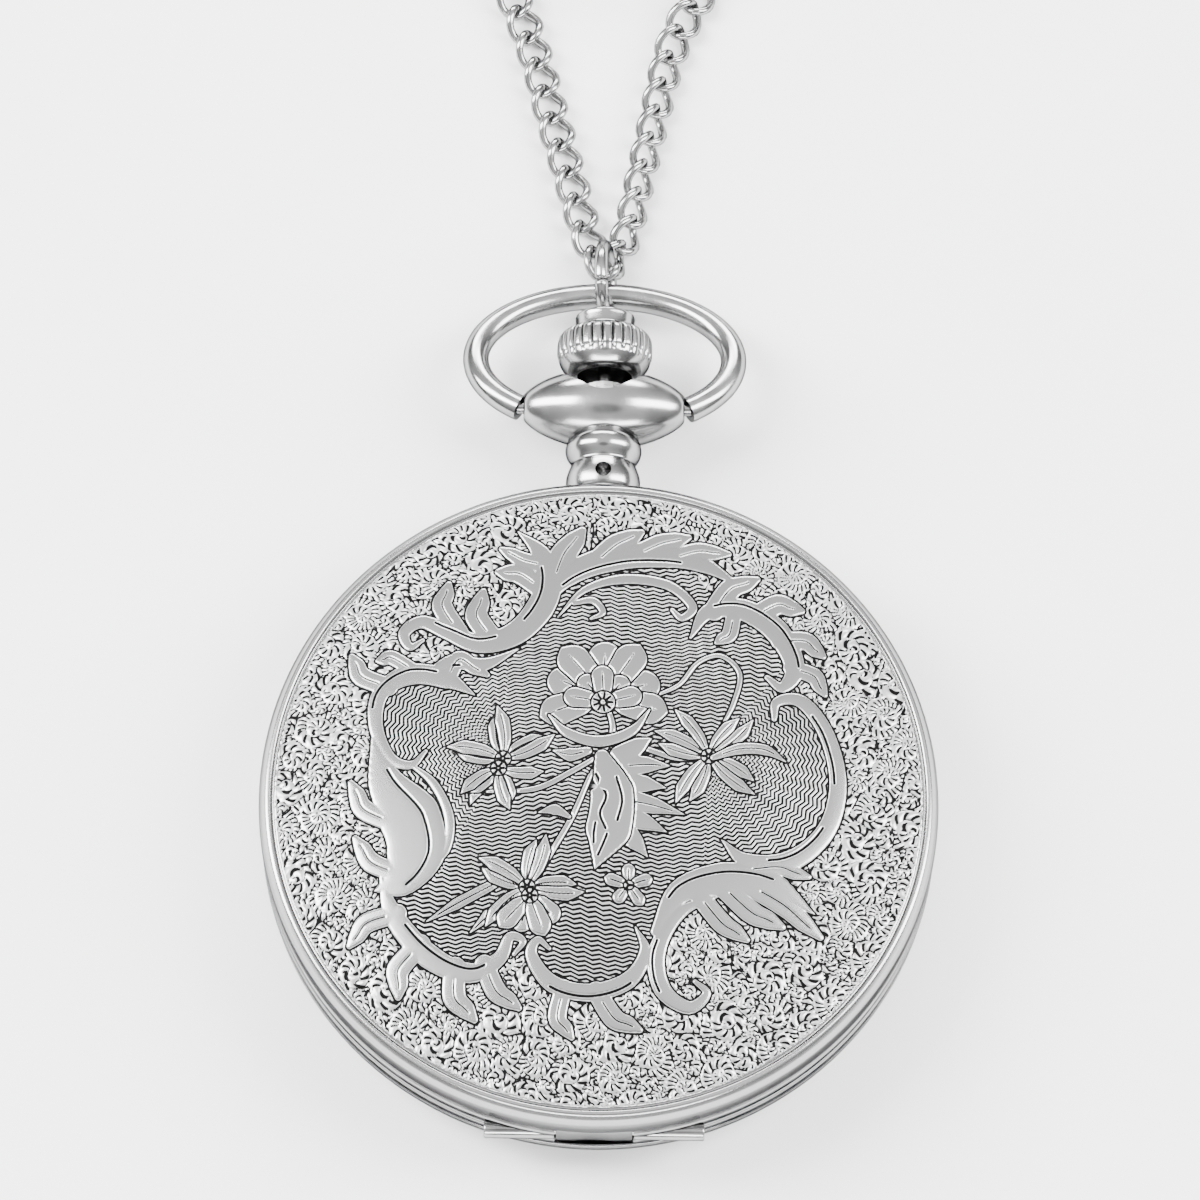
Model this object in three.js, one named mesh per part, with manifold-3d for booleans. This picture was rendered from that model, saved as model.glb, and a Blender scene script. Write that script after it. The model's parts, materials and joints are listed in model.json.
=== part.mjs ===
// A hunter pocket watch lying on its back with its lid up, its bow laid down on the
// table, and its necklace chain led away from the bow into a neat coil.
// Millimetres. +Z is up, out of the lid. +Y points to twelve o'clock, where the crown is.
// The origin is the middle of the flat on the back cover that the watch rests on.
import * as THREE from 'three';
import { mergeVertices } from 'three/addons/utils/BufferGeometryUtils.js';
import Module from 'manifold-3d';

const wasm = await Module();
wasm.setup();

// ---------------------------------------------------------------- driving dimensions
const ROUND = 40;              // segments round a case-sized turning
const FIT = 0.05;              // gap between two fixed pieces that touch
const CUT = 1;                 // how far a cutting body runs past what it cuts
const CASE_RADIUS = 23.4;
const BAND_LOW = 4.2;          // joint between the back cover and the band
const BAND_HIGH = 7.2;         // joint between the band and the lid
const BAND_INNER = 20.4;
const LID_TOP = 11.8;
const STEM_Z = 5.7;            // height of the stem, the pendant and the bow's pivots
const PIVOT_Y = 30.5;          // the bow's pivot line
const HINGE_Y = -22.65;
const HINGE_Z = 5.6;
const HINGE_RADIUS = 0.6;
const HINGE_BORE = 0.34;
const PIN_RADIUS = 0.28;
const KNUCKLE_HALF = 2.6;      // half the lid's knuckle
const HINGE_HALF = 7.5;        // half the whole hinge
const HINGE_GAP = 0.1;         // between the knuckles, end to end
const HINGE_ROOM = 0.4;        // round the lid's knuckle
const BALL_HALF = 5.7;         // half the spindle-shaped head of the pendant
const BALL_TIP = 0.88;         // its radius at the ends
const BALL_SWELL = 2.05;       // and how much more in the middle
const BALL_FULLNESS = 0.75;
const PENDANT_BORE = 1.65;
const BOW_WIRE = 0.92;         // radius of the bow's wire
const BOW_HALF = 9.2;          // half the bow's width, at the middle of the wire
const BOW_RISE = 6.1;          // the other half axis of its oval
const BOW_OFFSET = 4.62;       // from the pivots to the middle of the oval
const BOW_DROOP = 18.5;        // degrees below the case's plane, lying down
const BOW_SPAN = 6;            // degrees the bow's wire runs past the pivots' line
const BOW_PIVOT = 0.45;        // radius of the bow's end pins
const PIVOT_HOLE = 0.55;
const PIVOT_DEPTH = 3.6;       // from the middle of the head to the bottom of each hole
const CROWN_RADIUS = 3.38;
const CROWN_RIBS = 24;
const RIB_DEPTH = 0.3;
const RIB_LENGTH = 1.5;
const STEM_HOLE = 1.3;
const STEM_RADIUS = 0.55;

// heights inside the case, from the back to the dial
const PLATE_LOW = 5.0;
const PLATE_HIGH = 6.4;
const BRIDGE_LOW = 1.5;
const BRIDGE_HIGH = 2.3;
const MOVEMENT_RADIUS = 18.6;
const DIAL_LOW = 7.3;
const DIAL_HIGH = 7.65;
const SPRING_INNER = 19.45;    // the two springs stand in the gap round the movement
const SPRING_OUTER = 20.15;
const SPRING_LOW = 4.9;
const SPRING_HIGH = 6.7;
const WINDING_LOW = 1.1;       // the two wheels and the click on top of the barrel bridge
const WINDING_HIGH = 1.42;
const ESCAPE_LOW = 3.6;        // the escape wheel and the pallets
const ESCAPE_HIGH = 3.82;
const PIVOT_LOW = 1.6;         // ends of the train's arbors
const PIVOT_HIGH = 6.2;
const JEWEL = 0.25;            // radius of a pivot hole
const TAP = 0.5;               // radius of a screw hole
const TOOTH_TIP = 0.55;        // in modules, from the pitch line
const TOOTH_ROOT = 1.15;

// gear train: teeth, modules and places
const CENTER_TEETH = 60;
const THIRD_PINION = 8;
const THIRD_TEETH = 64;
const FOURTH_PINION = 8;
const FOURTH_TEETH = 60;
const ESCAPE_PINION = 6;
const BARREL_TEETH = 60;
const CENTER_PINION = 10;
const CANNON_TEETH = 12;
const MINUTE_TEETH = 36;
const MINUTE_PINION = 10;
const HOUR_TEETH = 40;
const RATCHET_TEETH = 40;
const CROWN_WHEEL_TEETH = 30;
const BARREL_MODULE = 0.264;
const CENTER_MODULE = 0.2;
const THIRD_MODULE = 0.16;
const FOURTH_MODULE = 0.14;
const MOTION_MODULE = 0.14;

const CENTER = new THREE.Vector2(0, 0);
const FOURTH = new THREE.Vector2(0, -8.6);
const BARREL = polar(CENTER, pitch(BARREL_MODULE, BARREL_TEETH, CENTER_PINION), 140);
const THIRD = apex(
  CENTER, pitch(CENTER_MODULE, CENTER_TEETH, THIRD_PINION),
  FOURTH, pitch(THIRD_MODULE, THIRD_TEETH, FOURTH_PINION));
const ESCAPE = polar(FOURTH, pitch(FOURTH_MODULE, FOURTH_TEETH, ESCAPE_PINION), 250);
const PALLET = polar(ESCAPE, 3.5, 180);
const BALANCE = new THREE.Vector2(-6.8, -9.3);
const MINUTE = polar(CENTER, pitch(MOTION_MODULE, CANNON_TEETH, MINUTE_TEETH), 20);
const CROWN_WHEEL = new THREE.Vector2(0, 13.6);
const WINDING_MODULE = 2 * BARREL.distanceTo(CROWN_WHEEL) / (RATCHET_TEETH + CROWN_WHEEL_TEETH);
const RETURN_MODULE = 2 * CENTER.distanceTo(MINUTE) / (MINUTE_PINION + HOUR_TEETH);
const CLICK = polar(BARREL, 7.2, 200);
const LEVER = new THREE.Vector2(3.4, 15.2);

// ---------------------------------------------------------------- small helpers
function pitch(module, a, b) {
  return module * (a + b) / 2;
}

function polar(centre, distance, degrees) {
  const angle = THREE.MathUtils.degToRad(degrees);
  return new THREE.Vector2(
    centre.x + distance * Math.cos(angle),
    centre.y + distance * Math.sin(angle));
}

// The point at distance ra from a and rb from b, on the +X side of the line from a to b.
function apex(a, ra, b, rb) {
  const base = a.distanceTo(b);
  const along = (ra * ra - rb * rb + base * base) / (2 * base);
  const out = Math.sqrt(ra * ra - along * along);
  const dir = b.clone().sub(a).normalize();
  return new THREE.Vector2(a.x + dir.x * along - dir.y * out, a.y + dir.y * along + dir.x * out);
}

function bearing(from, to) {
  return Math.atan2(to.y - from.y, to.x - from.x);
}

function bare(geometry) {
  const copy = geometry.clone();
  for (const name of Object.keys(copy.attributes)) {
    if (name !== 'position') copy.deleteAttribute(name);
  }
  return mergeVertices(copy, 1e-4);
}

function solid(geometry) {
  const g = bare(geometry);
  const corners = Uint32Array.from(g.index.array);
  const p = g.attributes.position.array;
  let volume = 0;
  for (let i = 0; i < corners.length; i += 3) {
    const a = new THREE.Vector3().fromArray(p, corners[i] * 3);
    const b = new THREE.Vector3().fromArray(p, corners[i + 1] * 3);
    const c = new THREE.Vector3().fromArray(p, corners[i + 2] * 3);
    volume += a.dot(b.cross(c));
  }
  if (volume < 0) {
    for (let i = 0; i < corners.length; i += 3) {
      [corners[i], corners[i + 1]] = [corners[i + 1], corners[i]];
    }
  }
  return new wasm.Manifold(new wasm.Mesh({ numProp: 3, vertProperties: p, triVerts: corners }));
}

function geometryOf(body) {
  const mesh = body.getMesh();
  const g = new THREE.BufferGeometry();
  g.setAttribute('position', new THREE.BufferAttribute(mesh.vertProperties, 3));
  g.setIndex(new THREE.BufferAttribute(mesh.triVerts, 1));
  return g;
}

function joined(...bodies) {
  return bodies.reduce((sum, body) => sum.add(body));
}

// A turning about +Z. The profile is [radius, z] pairs and closes on itself.
function turned(profile, segments = ROUND, at = CENTER) {
  const points = profile.map(([r, z]) => new THREE.Vector2(r, z));
  const onAxis = points[0].x === 0 && points[points.length - 1].x === 0;
  if (!onAxis) points.push(points[0].clone());
  const g = new THREE.LatheGeometry(points, segments);
  g.rotateX(Math.PI / 2);
  g.translate(at.x, at.y, 0);
  return solid(g);
}

// A turning about the +Y line at the stem's height.
function turnedOnStem(profile, segments) {
  const points = profile.map(([r, y]) => new THREE.Vector2(r, y));
  const onAxis = points[0].x === 0 && points[points.length - 1].x === 0;
  if (!onAxis) points.push(points[0].clone());
  const g = new THREE.LatheGeometry(points, segments);
  g.translate(0, 0, STEM_Z);
  return solid(g);
}

// A turning about a line along X through (y, z); the profile is [radius, x] pairs.
function turnedAcross(profile, segments, y, z) {
  const points = profile.map(([r, x]) => new THREE.Vector2(r, x));
  const g = new THREE.LatheGeometry(points, segments);
  g.rotateZ(-Math.PI / 2);
  g.translate(0, y, z);
  return solid(g);
}

function post(at, radius, low, high, segments = 16) {
  return turned([[0, low], [radius, low], [radius, high], [0, high]], segments, at);
}

function rodAcross(radius, x0, x1, y, z, segments = 16) {
  return turnedAcross([[0, x0], [radius, x0], [radius, x1], [0, x1]], segments, y, z);
}

function rodOnStem(radius, y0, y1, segments = 16) {
  return turnedOnStem([[0, y0], [radius, y0], [radius, y1], [0, y1]], segments);
}

function block(x0, x1, y0, y1, z0, z1) {
  const g = new THREE.BoxGeometry(x1 - x0, y1 - y0, z1 - z0);
  g.translate((x0 + x1) / 2, (y0 + y1) / 2, (z0 + z1) / 2);
  return solid(g);
}

function plateOf(outline, low, high) {
  const g = new THREE.ExtrudeGeometry(new THREE.Shape(outline), { depth: high - low, bevelEnabled: false });
  g.translate(0, 0, low);
  return solid(g);
}

// A gear blank with pointed teeth; one tooth's tip stands at the angle `tip`.
function gear(at, module, teeth, tip, low, high) {
  const radius = module * teeth / 2;
  const outline = [];
  for (let i = 0; i < teeth; i += 1) {
    const angle = tip + i * 2 * Math.PI / teeth;
    const valley = angle + Math.PI / teeth;
    const out = radius + TOOTH_TIP * module;
    const root = radius - TOOTH_ROOT * module;
    outline.push(new THREE.Vector2(at.x + out * Math.cos(angle), at.y + out * Math.sin(angle)));
    outline.push(new THREE.Vector2(at.x + root * Math.cos(valley), at.y + root * Math.sin(valley)));
  }
  return plateOf(outline, low, high);
}

// A wheel shows a tooth to its mate, and the mate shows it a gap.
function wheelTo(at, mate, module, teeth, low, high) {
  return gear(at, module, teeth, bearing(at, mate), low, high);
}

function pinionTo(at, mate, module, teeth, low, high) {
  return gear(at, module, teeth, bearing(at, mate) + Math.PI / teeth, low, high);
}

const SILVER = { color: 0xc9cbcc, metalness: 1, roughness: 0.2 };
const STEEL = { color: 0xa9adb1, metalness: 1, roughness: 0.35 };
const GILT = { color: 0xc8a35a, metalness: 1, roughness: 0.35 };
const BLUED = { color: 0x24345e, metalness: 1, roughness: 0.3 };
const ENAMEL = { color: 0xf4f2ea, metalness: 0, roughness: 0.4 };
const CLEAR = { color: 0xe8f0f2, metalness: 0, roughness: 0.05, transparent: true, opacity: 0.4 };
const PLASTIC = { color: 0x55585c, metalness: 0, roughness: 0.6 };

const watch = new THREE.Group();

function place(name, body, look) {
  const mesh = new THREE.Mesh(geometryOf(body), new THREE.MeshStandardMaterial(look));
  mesh.name = name;
  watch.add(mesh);
}

// ---------------------------------------------------------------- case
function hingeLine(radius, x0, x1, sides = 16) {
  return rodAcross(radius, x0, x1, HINGE_Y, HINGE_Z, sides);
}

function caseBand() {
  const ring = turned([
    [21.9, 3.3], [21.9, 4.25], [CASE_RADIUS, 4.25], [CASE_RADIUS, 6.6], [22.9, BAND_HIGH],
    [BAND_INNER, BAND_HIGH], [BAND_INNER, 3.3]]);
  const inner = KNUCKLE_HALF + HINGE_GAP;
  const right = hingeLine(HINGE_RADIUS, inner, HINGE_HALF);
  const left = hingeLine(HINGE_RADIUS, -HINGE_HALF, -inner);
  const notch = hingeLine(HINGE_RADIUS + HINGE_ROOM, -inner, inner);
  const webRoom = block(-inner, inner, -24.5, -22.1, HINGE_Z, BAND_HIGH + CUT);
  const bore = hingeLine(HINGE_BORE, -HINGE_HALF - CUT, HINGE_HALF + CUT, 12);
  const stemHole = rodOnStem(STEM_HOLE, BAND_INNER - CUT, CASE_RADIUS + CUT);
  const room = joined(notch, webRoom, bore, stemHole);
  return joined(ring, right, left).subtract(room);
}

function lidHingePin() {
  return hingeLine(PIN_RADIUS, FIT - HINGE_HALF, HINGE_HALF - FIT, 12);
}

function frontLid() {
  const shell = turned([
    [22.6, 7.25], [23.1, 7.25], [CASE_RADIUS, 7.55], [CASE_RADIUS, 8.6], [23.1, 9.3],
    [22.3, 9.9], [16, 10.8], [8, 11.55], [0, LID_TOP],
    [0, 11.1], [8, 10.85], [14, 10.3], [18, 9.75], [21.4, 9.25], [22.3, 8.4]]);
  const knuckle = hingeLine(HINGE_RADIUS, -KNUCKLE_HALF, KNUCKLE_HALF);
  const web = block(-KNUCKLE_HALF, KNUCKLE_HALF, -23.1, -22.5, HINGE_Z + 0.3, 7.9);
  const bore = hingeLine(HINGE_BORE, -KNUCKLE_HALF - CUT, KNUCKLE_HALF + CUT, 12);
  return joined(shell, knuckle, web).subtract(bore);
}

function backCover() {
  return turned([
    [0, 0], [17.2, 0], [20.6, 0.45], [22.6, 1.7], [23.3, 3.2], [CASE_RADIUS, 4.2],
    [22.0, 4.2], [22.0, 3.0], [20.9, 1.6], [18.8, 0.9], [0, 0.9]]);
}

function pendant() {
  const steps = 10;
  const spindle = [[0, -BALL_HALF]];
  for (let i = 0; i <= steps; i += 1) {
    const x = BALL_HALF * (2 * i / steps - 1);
    const fullness = Math.pow(1 - (x / BALL_HALF) ** 2, BALL_FULLNESS);
    spindle.push([BALL_TIP + BALL_SWELL * fullness, x]);
  }
  spindle.push([0, BALL_HALF]);
  const head = turnedAcross(spindle, 24, PIVOT_Y, STEM_Z);
  const neck = turnedOnStem([
    [0, 20.6], [1.25, 20.6], [1.25, 23.6], [2.2, 23.65], [2.6, 24.3], [2.6, 25.5], [2.25, 26.0],
    [2.25, 26.2], [2.68, 26.7], [2.68, 27.7], [2.2, 28.4], [2.2, 30], [0, 30]], 20);
  const seat = turnedOnStem([
    [0, 30.8], [2.75, 30.8], [2.95, 31.1], [3.35, 32.9], [3.65, 34.6], [0, 34.6]], 20);
  const wide = rodOnStem(PENDANT_BORE, 26, 32);
  const narrow = rodOnStem(0.85, 20, 27);
  const pivots = joined(
    rodAcross(PIVOT_HOLE, -BALL_HALF - CUT, -PIVOT_DEPTH, PIVOT_Y, STEM_Z, 12),
    rodAcross(PIVOT_HOLE, PIVOT_DEPTH, BALL_HALF + CUT, PIVOT_Y, STEM_Z, 12));
  const pit = post(new THREE.Vector2(0, 24.9), 0.55, STEM_Z + 1.8, STEM_Z + 4, 10);
  return joined(head, neck).subtract(joined(seat, wide, narrow)).subtract(pivots).subtract(pit);
}

function crystalBezel() {
  const ring = turned([
    [18.5, 7.25], [22.1, 7.25], [22.1, 8.1], [21.4, 8.7], [19.9, 9.15], [19.3, 9.15],
    [19.3, 8.3], [18.5, 8.3]]);
  return ring.subtract(block(1.1, 3.4, 18.95, 24, 7, 9));
}

function crystalGasket() {
  return turned([[18.6, 8.35], [19.2, 8.35], [19.2, 8.6], [18.6, 8.6]], 24);
}

function crystal() {
  return turned([
    [0, 9.55], [14, 9.05], [18.2, 8.65], [19.2, 8.65], [19.2, 8.9], [18.6, 9.15],
    [14, 9.65], [8, 10.0], [0, 10.2]]);
}

// ---------------------------------------------------------------- crown, bow and ring
function crown() {
  const cap = turnedOnStem([
    [0, 29.6], [0.4, 29.6], [0.4, 32.9], [2.1, 32.9], [2.75, 33.25], [3.2, 33.85],
    [CROWN_RADIUS - FIT, 34.2], [2.9, 34.4], [2.9, 35.9], [2.1, 36.4], [2.08, 37.5],
    [1.9, 37.6], [0, 37.6]], 20);
  const outline = [];
  for (let i = 0; i < CROWN_RIBS; i += 1) {
    const angle = i * 360 / CROWN_RIBS;
    outline.push(polar(CENTER, CROWN_RADIUS, angle));
    outline.push(polar(CENTER, CROWN_RADIUS - RIB_DEPTH, angle + 180 / CROWN_RIBS));
  }
  const band = new THREE.ExtrudeGeometry(
    new THREE.Shape(outline), { depth: RIB_LENGTH, bevelEnabled: false });
  band.rotateX(-Math.PI / 2);
  band.translate(0, 34.25, STEM_Z);
  return cap.add(solid(band));
}

function pushSleeve() {
  return turnedOnStem([[0.95, 26.8], [1.55, 26.8], [1.55, 32.0], [0.95, 32.0]], 16);
}

function windingStem() {
  const rod = turnedOnStem([
    [0, 12.6], [STEM_RADIUS, 12.6], [STEM_RADIUS, 26.6], [0.85, 26.9], [0.85, 31.9],
    [0, 31.9]], 14);
  return rod.subtract(rodOnStem(0.5, 28.6, 33, 14));
}

class Oval extends THREE.Curve {
  getPoint(t, target = new THREE.Vector3()) {
    const first = Math.acos(BOW_OFFSET / BOW_RISE) - THREE.MathUtils.degToRad(BOW_SPAN);
    const angle = first + t * 2 * (Math.PI - first);
    return target.set(
      BOW_HALF * Math.sin(angle),
      BOW_OFFSET - BOW_RISE * Math.cos(angle),
      0);
  }
}

function circleShape(radius, sides) {
  const points = [];
  for (let i = 0; i < sides; i += 1) {
    const angle = i * 2 * Math.PI / sides;
    points.push(new THREE.Vector2(radius * Math.cos(angle), radius * Math.sin(angle)));
  }
  return new THREE.Shape(points);
}

function bow() {
  const wire = new THREE.ExtrudeGeometry(circleShape(BOW_WIRE, 10), {
    steps: 28, extrudePath: new Oval(), bevelEnabled: false });
  const gap = new THREE.BoxGeometry(2 * BALL_HALF + 0.44, 5, 3);
  const pivotOf = (side) => {
    const g = new THREE.CylinderGeometry(BOW_PIVOT, BOW_PIVOT, 2.4, 12);
    g.rotateZ(Math.PI / 2);
    g.translate(side * 5.1, 0, 0);
    return solid(g);
  };
  const body = joined(solid(wire).subtract(solid(gap)), pivotOf(-1), pivotOf(1));
  const laid = geometryOf(body);
  laid.rotateX(-THREE.MathUtils.degToRad(BOW_DROOP));
  laid.translate(0, PIVOT_Y, STEM_Z);
  return solid(laid);
}

const RING_RADIUS = 2.6;
const RING_WIRE = 0.48;
const RING_Y = 41.5;

function jumpRing() {
  const g = new THREE.TorusGeometry(RING_RADIUS, RING_WIRE, 8, 22);
  g.rotateY(Math.PI / 2 - THREE.MathUtils.degToRad(8));
  g.translate(0, RING_Y, RING_RADIUS + RING_WIRE + 0.02);
  return solid(g);
}

// ---------------------------------------------------------------- chain
const CHAIN_RADIUS = 1.3;
const LEFT_STRAND = [[-1.45, 45.3], [-2.6, 50.2], [-4.2, 56], [-5.9, 62], [-8.0, 67.6]];
const RIGHT_STRAND = [[1.5, 45.3], [2.3, 50], [3.5, 56], [4.9, 62], [7.4, 67.3]];
const COIL_Y = 88;
const COIL_INNER = 9.6;
const COIL_OUTER = 20.6;
const COIL_HEIGHT = 3.6;       // two layers of links lying flat

function strand(points) {
  const path = new THREE.CatmullRomCurve3(
    points.map(([x, y]) => new THREE.Vector3(x, y, CHAIN_RADIUS)), false, 'centripetal');
  const section = circleShape(CHAIN_RADIUS, 8);
  return solid(new THREE.ExtrudeGeometry(section, { steps: 5, extrudePath: path, bevelEnabled: false }));
}

function chainCoil() {
  const profile = [
    [COIL_INNER, 0], [COIL_OUTER, 0], [COIL_OUTER, COIL_HEIGHT], [COIL_INNER, COIL_HEIGHT]];
  return turned(profile, 40, new THREE.Vector2(0, COIL_Y));
}

// ---------------------------------------------------------------- springs in the band
// A flat strip bent round the case's middle, from one angle to another in degrees.
function arcStrip(inner, outer, from, to, low, high) {
  const a = THREE.MathUtils.degToRad(from);
  const b = THREE.MathUtils.degToRad(to);
  const shape = new THREE.Shape();
  shape.absarc(0, 0, outer, a, b, false);
  shape.absarc(0, 0, inner, b, a, true);
  shape.closePath();
  const g = new THREE.ExtrudeGeometry(shape, { depth: high - low, curveSegments: 8, bevelEnabled: false });
  g.translate(0, 0, low);
  return solid(g);
}

function latchSpring() {
  const strip = arcStrip(SPRING_INNER, SPRING_OUTER, 58, 84, SPRING_LOW, SPRING_HIGH);
  const riser = block(1.5, 2.9, 19.3, 20.1, 5.2, 7.65);
  const nose = block(1.5, 2.9, 19.3, 22.15, 7.3, 7.65);
  return joined(strip, riser, nose);
}

function liftSpring() {
  const strip = arcStrip(SPRING_INNER, SPRING_OUTER, 222, 266, SPRING_LOW, SPRING_HIGH);
  const tip = arcStrip(SPRING_INNER, SPRING_OUTER, 263, 268, SPRING_LOW, SPRING_HIGH + 0.3);
  return joined(strip, tip);
}

function movementRing() {
  const ring = turned([[18.65, 5.0], [20.3, 5.0], [20.3, 6.9], [18.65, 6.9]]);
  const latchRoom = arcStrip(18.85, 21, 52, 90, 4, 8);
  const liftRoom = arcStrip(19.2, 21, 219, 271, 4, 8);
  return ring.subtract(latchRoom).subtract(liftRoom).subtract(rodOnStem(STEM_HOLE, 18, 21));
}

// ---------------------------------------------------------------- movement: plates
const BARREL_PILLARS = [30, 112, 166].map((angle) => polar(CENTER, 16.8, angle));
const TRAIN_PILLARS = [-15, -62, -97].map((angle) => polar(CENTER, 16.8, angle));
const COCK_PILLAR = new THREE.Vector2(-15.6, -6.6);
const PALLET_PILLAR = new THREE.Vector2(-7.6, -15.2);

function mainPlate() {
  let plate = turned([[0, PLATE_LOW], [MOVEMENT_RADIUS, PLATE_LOW],
    [MOVEMENT_RADIUS, PLATE_HIGH], [0, PLATE_HIGH]]);
  plate = plate.add(post(MINUTE, 0.2, PLATE_HIGH - 0.2, 7.2, 10));
  const holes = [
    [CENTER, 0.4], [BARREL, 0.85], [THIRD, JEWEL], [FOURTH, 0.35], [ESCAPE, JEWEL],
    [PALLET, JEWEL], [BALANCE, JEWEL]];
  for (const pillar of [...BARREL_PILLARS, ...TRAIN_PILLARS, COCK_PILLAR]) holes.push([pillar, TAP]);
  for (const [at, radius] of holes) {
    plate = plate.subtract(post(at, radius, PLATE_LOW - CUT, PLATE_HIGH + FIT, 10));
  }
  const keyless = block(-1.6, 1.6, 11.4, 20, PLATE_LOW - CUT, PLATE_HIGH + CUT);
  return plate.subtract(keyless);
}

function bridge(outline, pillars, holes) {
  let body = plateOf(outline, BRIDGE_LOW, BRIDGE_HIGH);
  for (const pillar of pillars) {
    body = body.add(post(pillar, 1.05, BRIDGE_HIGH - 0.2, PLATE_LOW - FIT, 12));
  }
  for (const pillar of pillars) {
    body = body.subtract(post(pillar, TAP, BRIDGE_LOW - CUT, PLATE_LOW + CUT, 10));
  }
  for (const [at, radius] of holes) {
    body = body.subtract(post(at, radius, BRIDGE_LOW - CUT, BRIDGE_HIGH + CUT, 10));
  }
  return body;
}

// Points along the movement's edge, from one angle to another in degrees.
function rim(from, to, count, radius = 18.1) {
  const points = [];
  for (let i = 0; i <= count; i += 1) {
    points.push(polar(CENTER, radius, from + (to - from) * i / count));
  }
  return points;
}

function barrelBridge() {
  const outline = rim(7, 173, 18);
  return bridge(outline, BARREL_PILLARS, [[BARREL, 0.85], [CROWN_WHEEL, 1.8]]);
}

function trainBridge() {
  const outline = [
    new THREE.Vector2(-2.4, 1.8),
    new THREE.Vector2(-2.4, -4),
    new THREE.Vector2(-0.9, -9.5),
    new THREE.Vector2(-3.6, -12.3),
    ...rim(-100, 5, 12)];
  return bridge(outline, TRAIN_PILLARS,
    [[CENTER, 0.35], [THIRD, JEWEL], [FOURTH, 0.3], [ESCAPE, JEWEL]]);
}

function balanceCock() {
  const outline = [
    new THREE.Vector2(-17.2, -5.2),
    new THREE.Vector2(-16.6, -8.0),
    new THREE.Vector2(-8.5, -10.6),
    new THREE.Vector2(-6.6, -10.9),
    new THREE.Vector2(-5.2, -9.6),
    new THREE.Vector2(-5.9, -8.0),
    new THREE.Vector2(-9.0, -7.2),
    new THREE.Vector2(-14.8, -4.2)];
  return bridge(outline, [COCK_PILLAR], [[BALANCE, JEWEL]]);
}

function palletCock() {
  const outline = [
    new THREE.Vector2(-4.4, -12.2),
    new THREE.Vector2(-5.7, -12.2),
    new THREE.Vector2(-8.8, -14.9),
    new THREE.Vector2(-7.6, -16.2),
    new THREE.Vector2(-4.4, -13.8)];
  const bar = plateOf(outline, 3.05, 3.35);
  const foot = post(PALLET_PILLAR, 0.7, 3.2, PLATE_LOW - FIT, 10);
  return joined(bar, foot).subtract(post(PALLET, JEWEL, 2, 4, 10));
}

function bridgeScrew(at) {
  const head = turned([
    [0, 1.05], [0.85, 1.05], [0.85, BRIDGE_LOW - FIT], [0.42, BRIDGE_LOW - FIT],
    [0.42, 5.9], [0, 5.9]], 8, at);
  return head.subtract(block(at.x - 1, at.x + 1, at.y - 0.12, at.y + 0.12, 1, 1.22));
}

// ---------------------------------------------------------------- movement: going train
function mainspringBarrel() {
  const cup = turned([
    [1.9, 4.75], [1.9, 4.4], [7.0, 4.4], [7.0, 3.05], [7.3, 3.05], [7.3, 4.75]], 28, BARREL);
  const teeth = wheelTo(BARREL, CENTER, BARREL_MODULE, BARREL_TEETH, 4.35, 4.75);
  return cup.add(teeth.subtract(post(BARREL, 7.1, 4, 5, 28)));
}

const SPIRAL_SIDES = 12;

function spiral(at, inner, outer, turns, width, low, high) {
  const steps = turns * SPIRAL_SIDES;
  const outline = [];
  for (let side = 0; side < 2; side += 1) {
    for (let k = 0; k <= steps; k += 1) {
      const i = side === 0 ? k : steps - k;
      const angle = i * 2 * Math.PI / SPIRAL_SIDES;
      const radius = inner + (outer - inner) * i / steps + (side === 0 ? -width / 2 : width / 2);
      outline.push(new THREE.Vector2(
        at.x + radius * Math.cos(angle), at.y + radius * Math.sin(angle)));
    }
  }
  return plateOf(outline, low, high);
}

function mainspring() {
  return spiral(BARREL, 3.4, 6.5, 4, 0.2, 3.15, 4.3);
}

function barrelArbor() {
  return turned([[0, 2.0], [0.78, 2.0], [0.78, 2.9], [1.6, 3.1], [1.6, 4.8],
    [0.78, 4.9], [0.78, 6.0], [0, 6.0]], 16, BARREL);
}

function ratchetWheel() {
  const wheel = wheelTo(BARREL, CROWN_WHEEL, WINDING_MODULE, RATCHET_TEETH, WINDING_LOW, WINDING_HIGH);
  return wheel.add(post(BARREL, 0.78, 1.2, 1.95, 16));
}

function crownWheel() {
  const wheel = pinionTo(
    CROWN_WHEEL, BARREL, WINDING_MODULE, CROWN_WHEEL_TEETH, WINDING_LOW, WINDING_HIGH);
  const sleeve = post(CROWN_WHEEL, 1.6, 1.2, 4.2, 16);
  const face = gear(CROWN_WHEEL, 0.22, 16, 0, 4.1, 4.5);
  return joined(wheel, sleeve, face).subtract(post(CROWN_WHEEL, 0.6, 0, 5, 10));
}

function centerWheel() {
  const wheel = wheelTo(CENTER, THIRD, CENTER_MODULE, CENTER_TEETH, 2.45, 2.75);
  const pinion = pinionTo(CENTER, BARREL, BARREL_MODULE, CENTER_PINION, 2.7, 4.85);
  return joined(wheel, pinion, post(CENTER, 0.3, PIVOT_LOW, 8.6, 14));
}

function thirdWheel() {
  const wheel = wheelTo(THIRD, FOURTH, THIRD_MODULE, THIRD_TEETH, 4.3, 4.55);
  const pinion = pinionTo(THIRD, CENTER, CENTER_MODULE, THIRD_PINION, 2.4, 2.85);
  const arbor = joined(post(THIRD, 0.18, PIVOT_LOW, PIVOT_HIGH, 10), post(THIRD, 0.35, 2.5, 4.4, 10));
  return joined(wheel, pinion, arbor);
}

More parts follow.
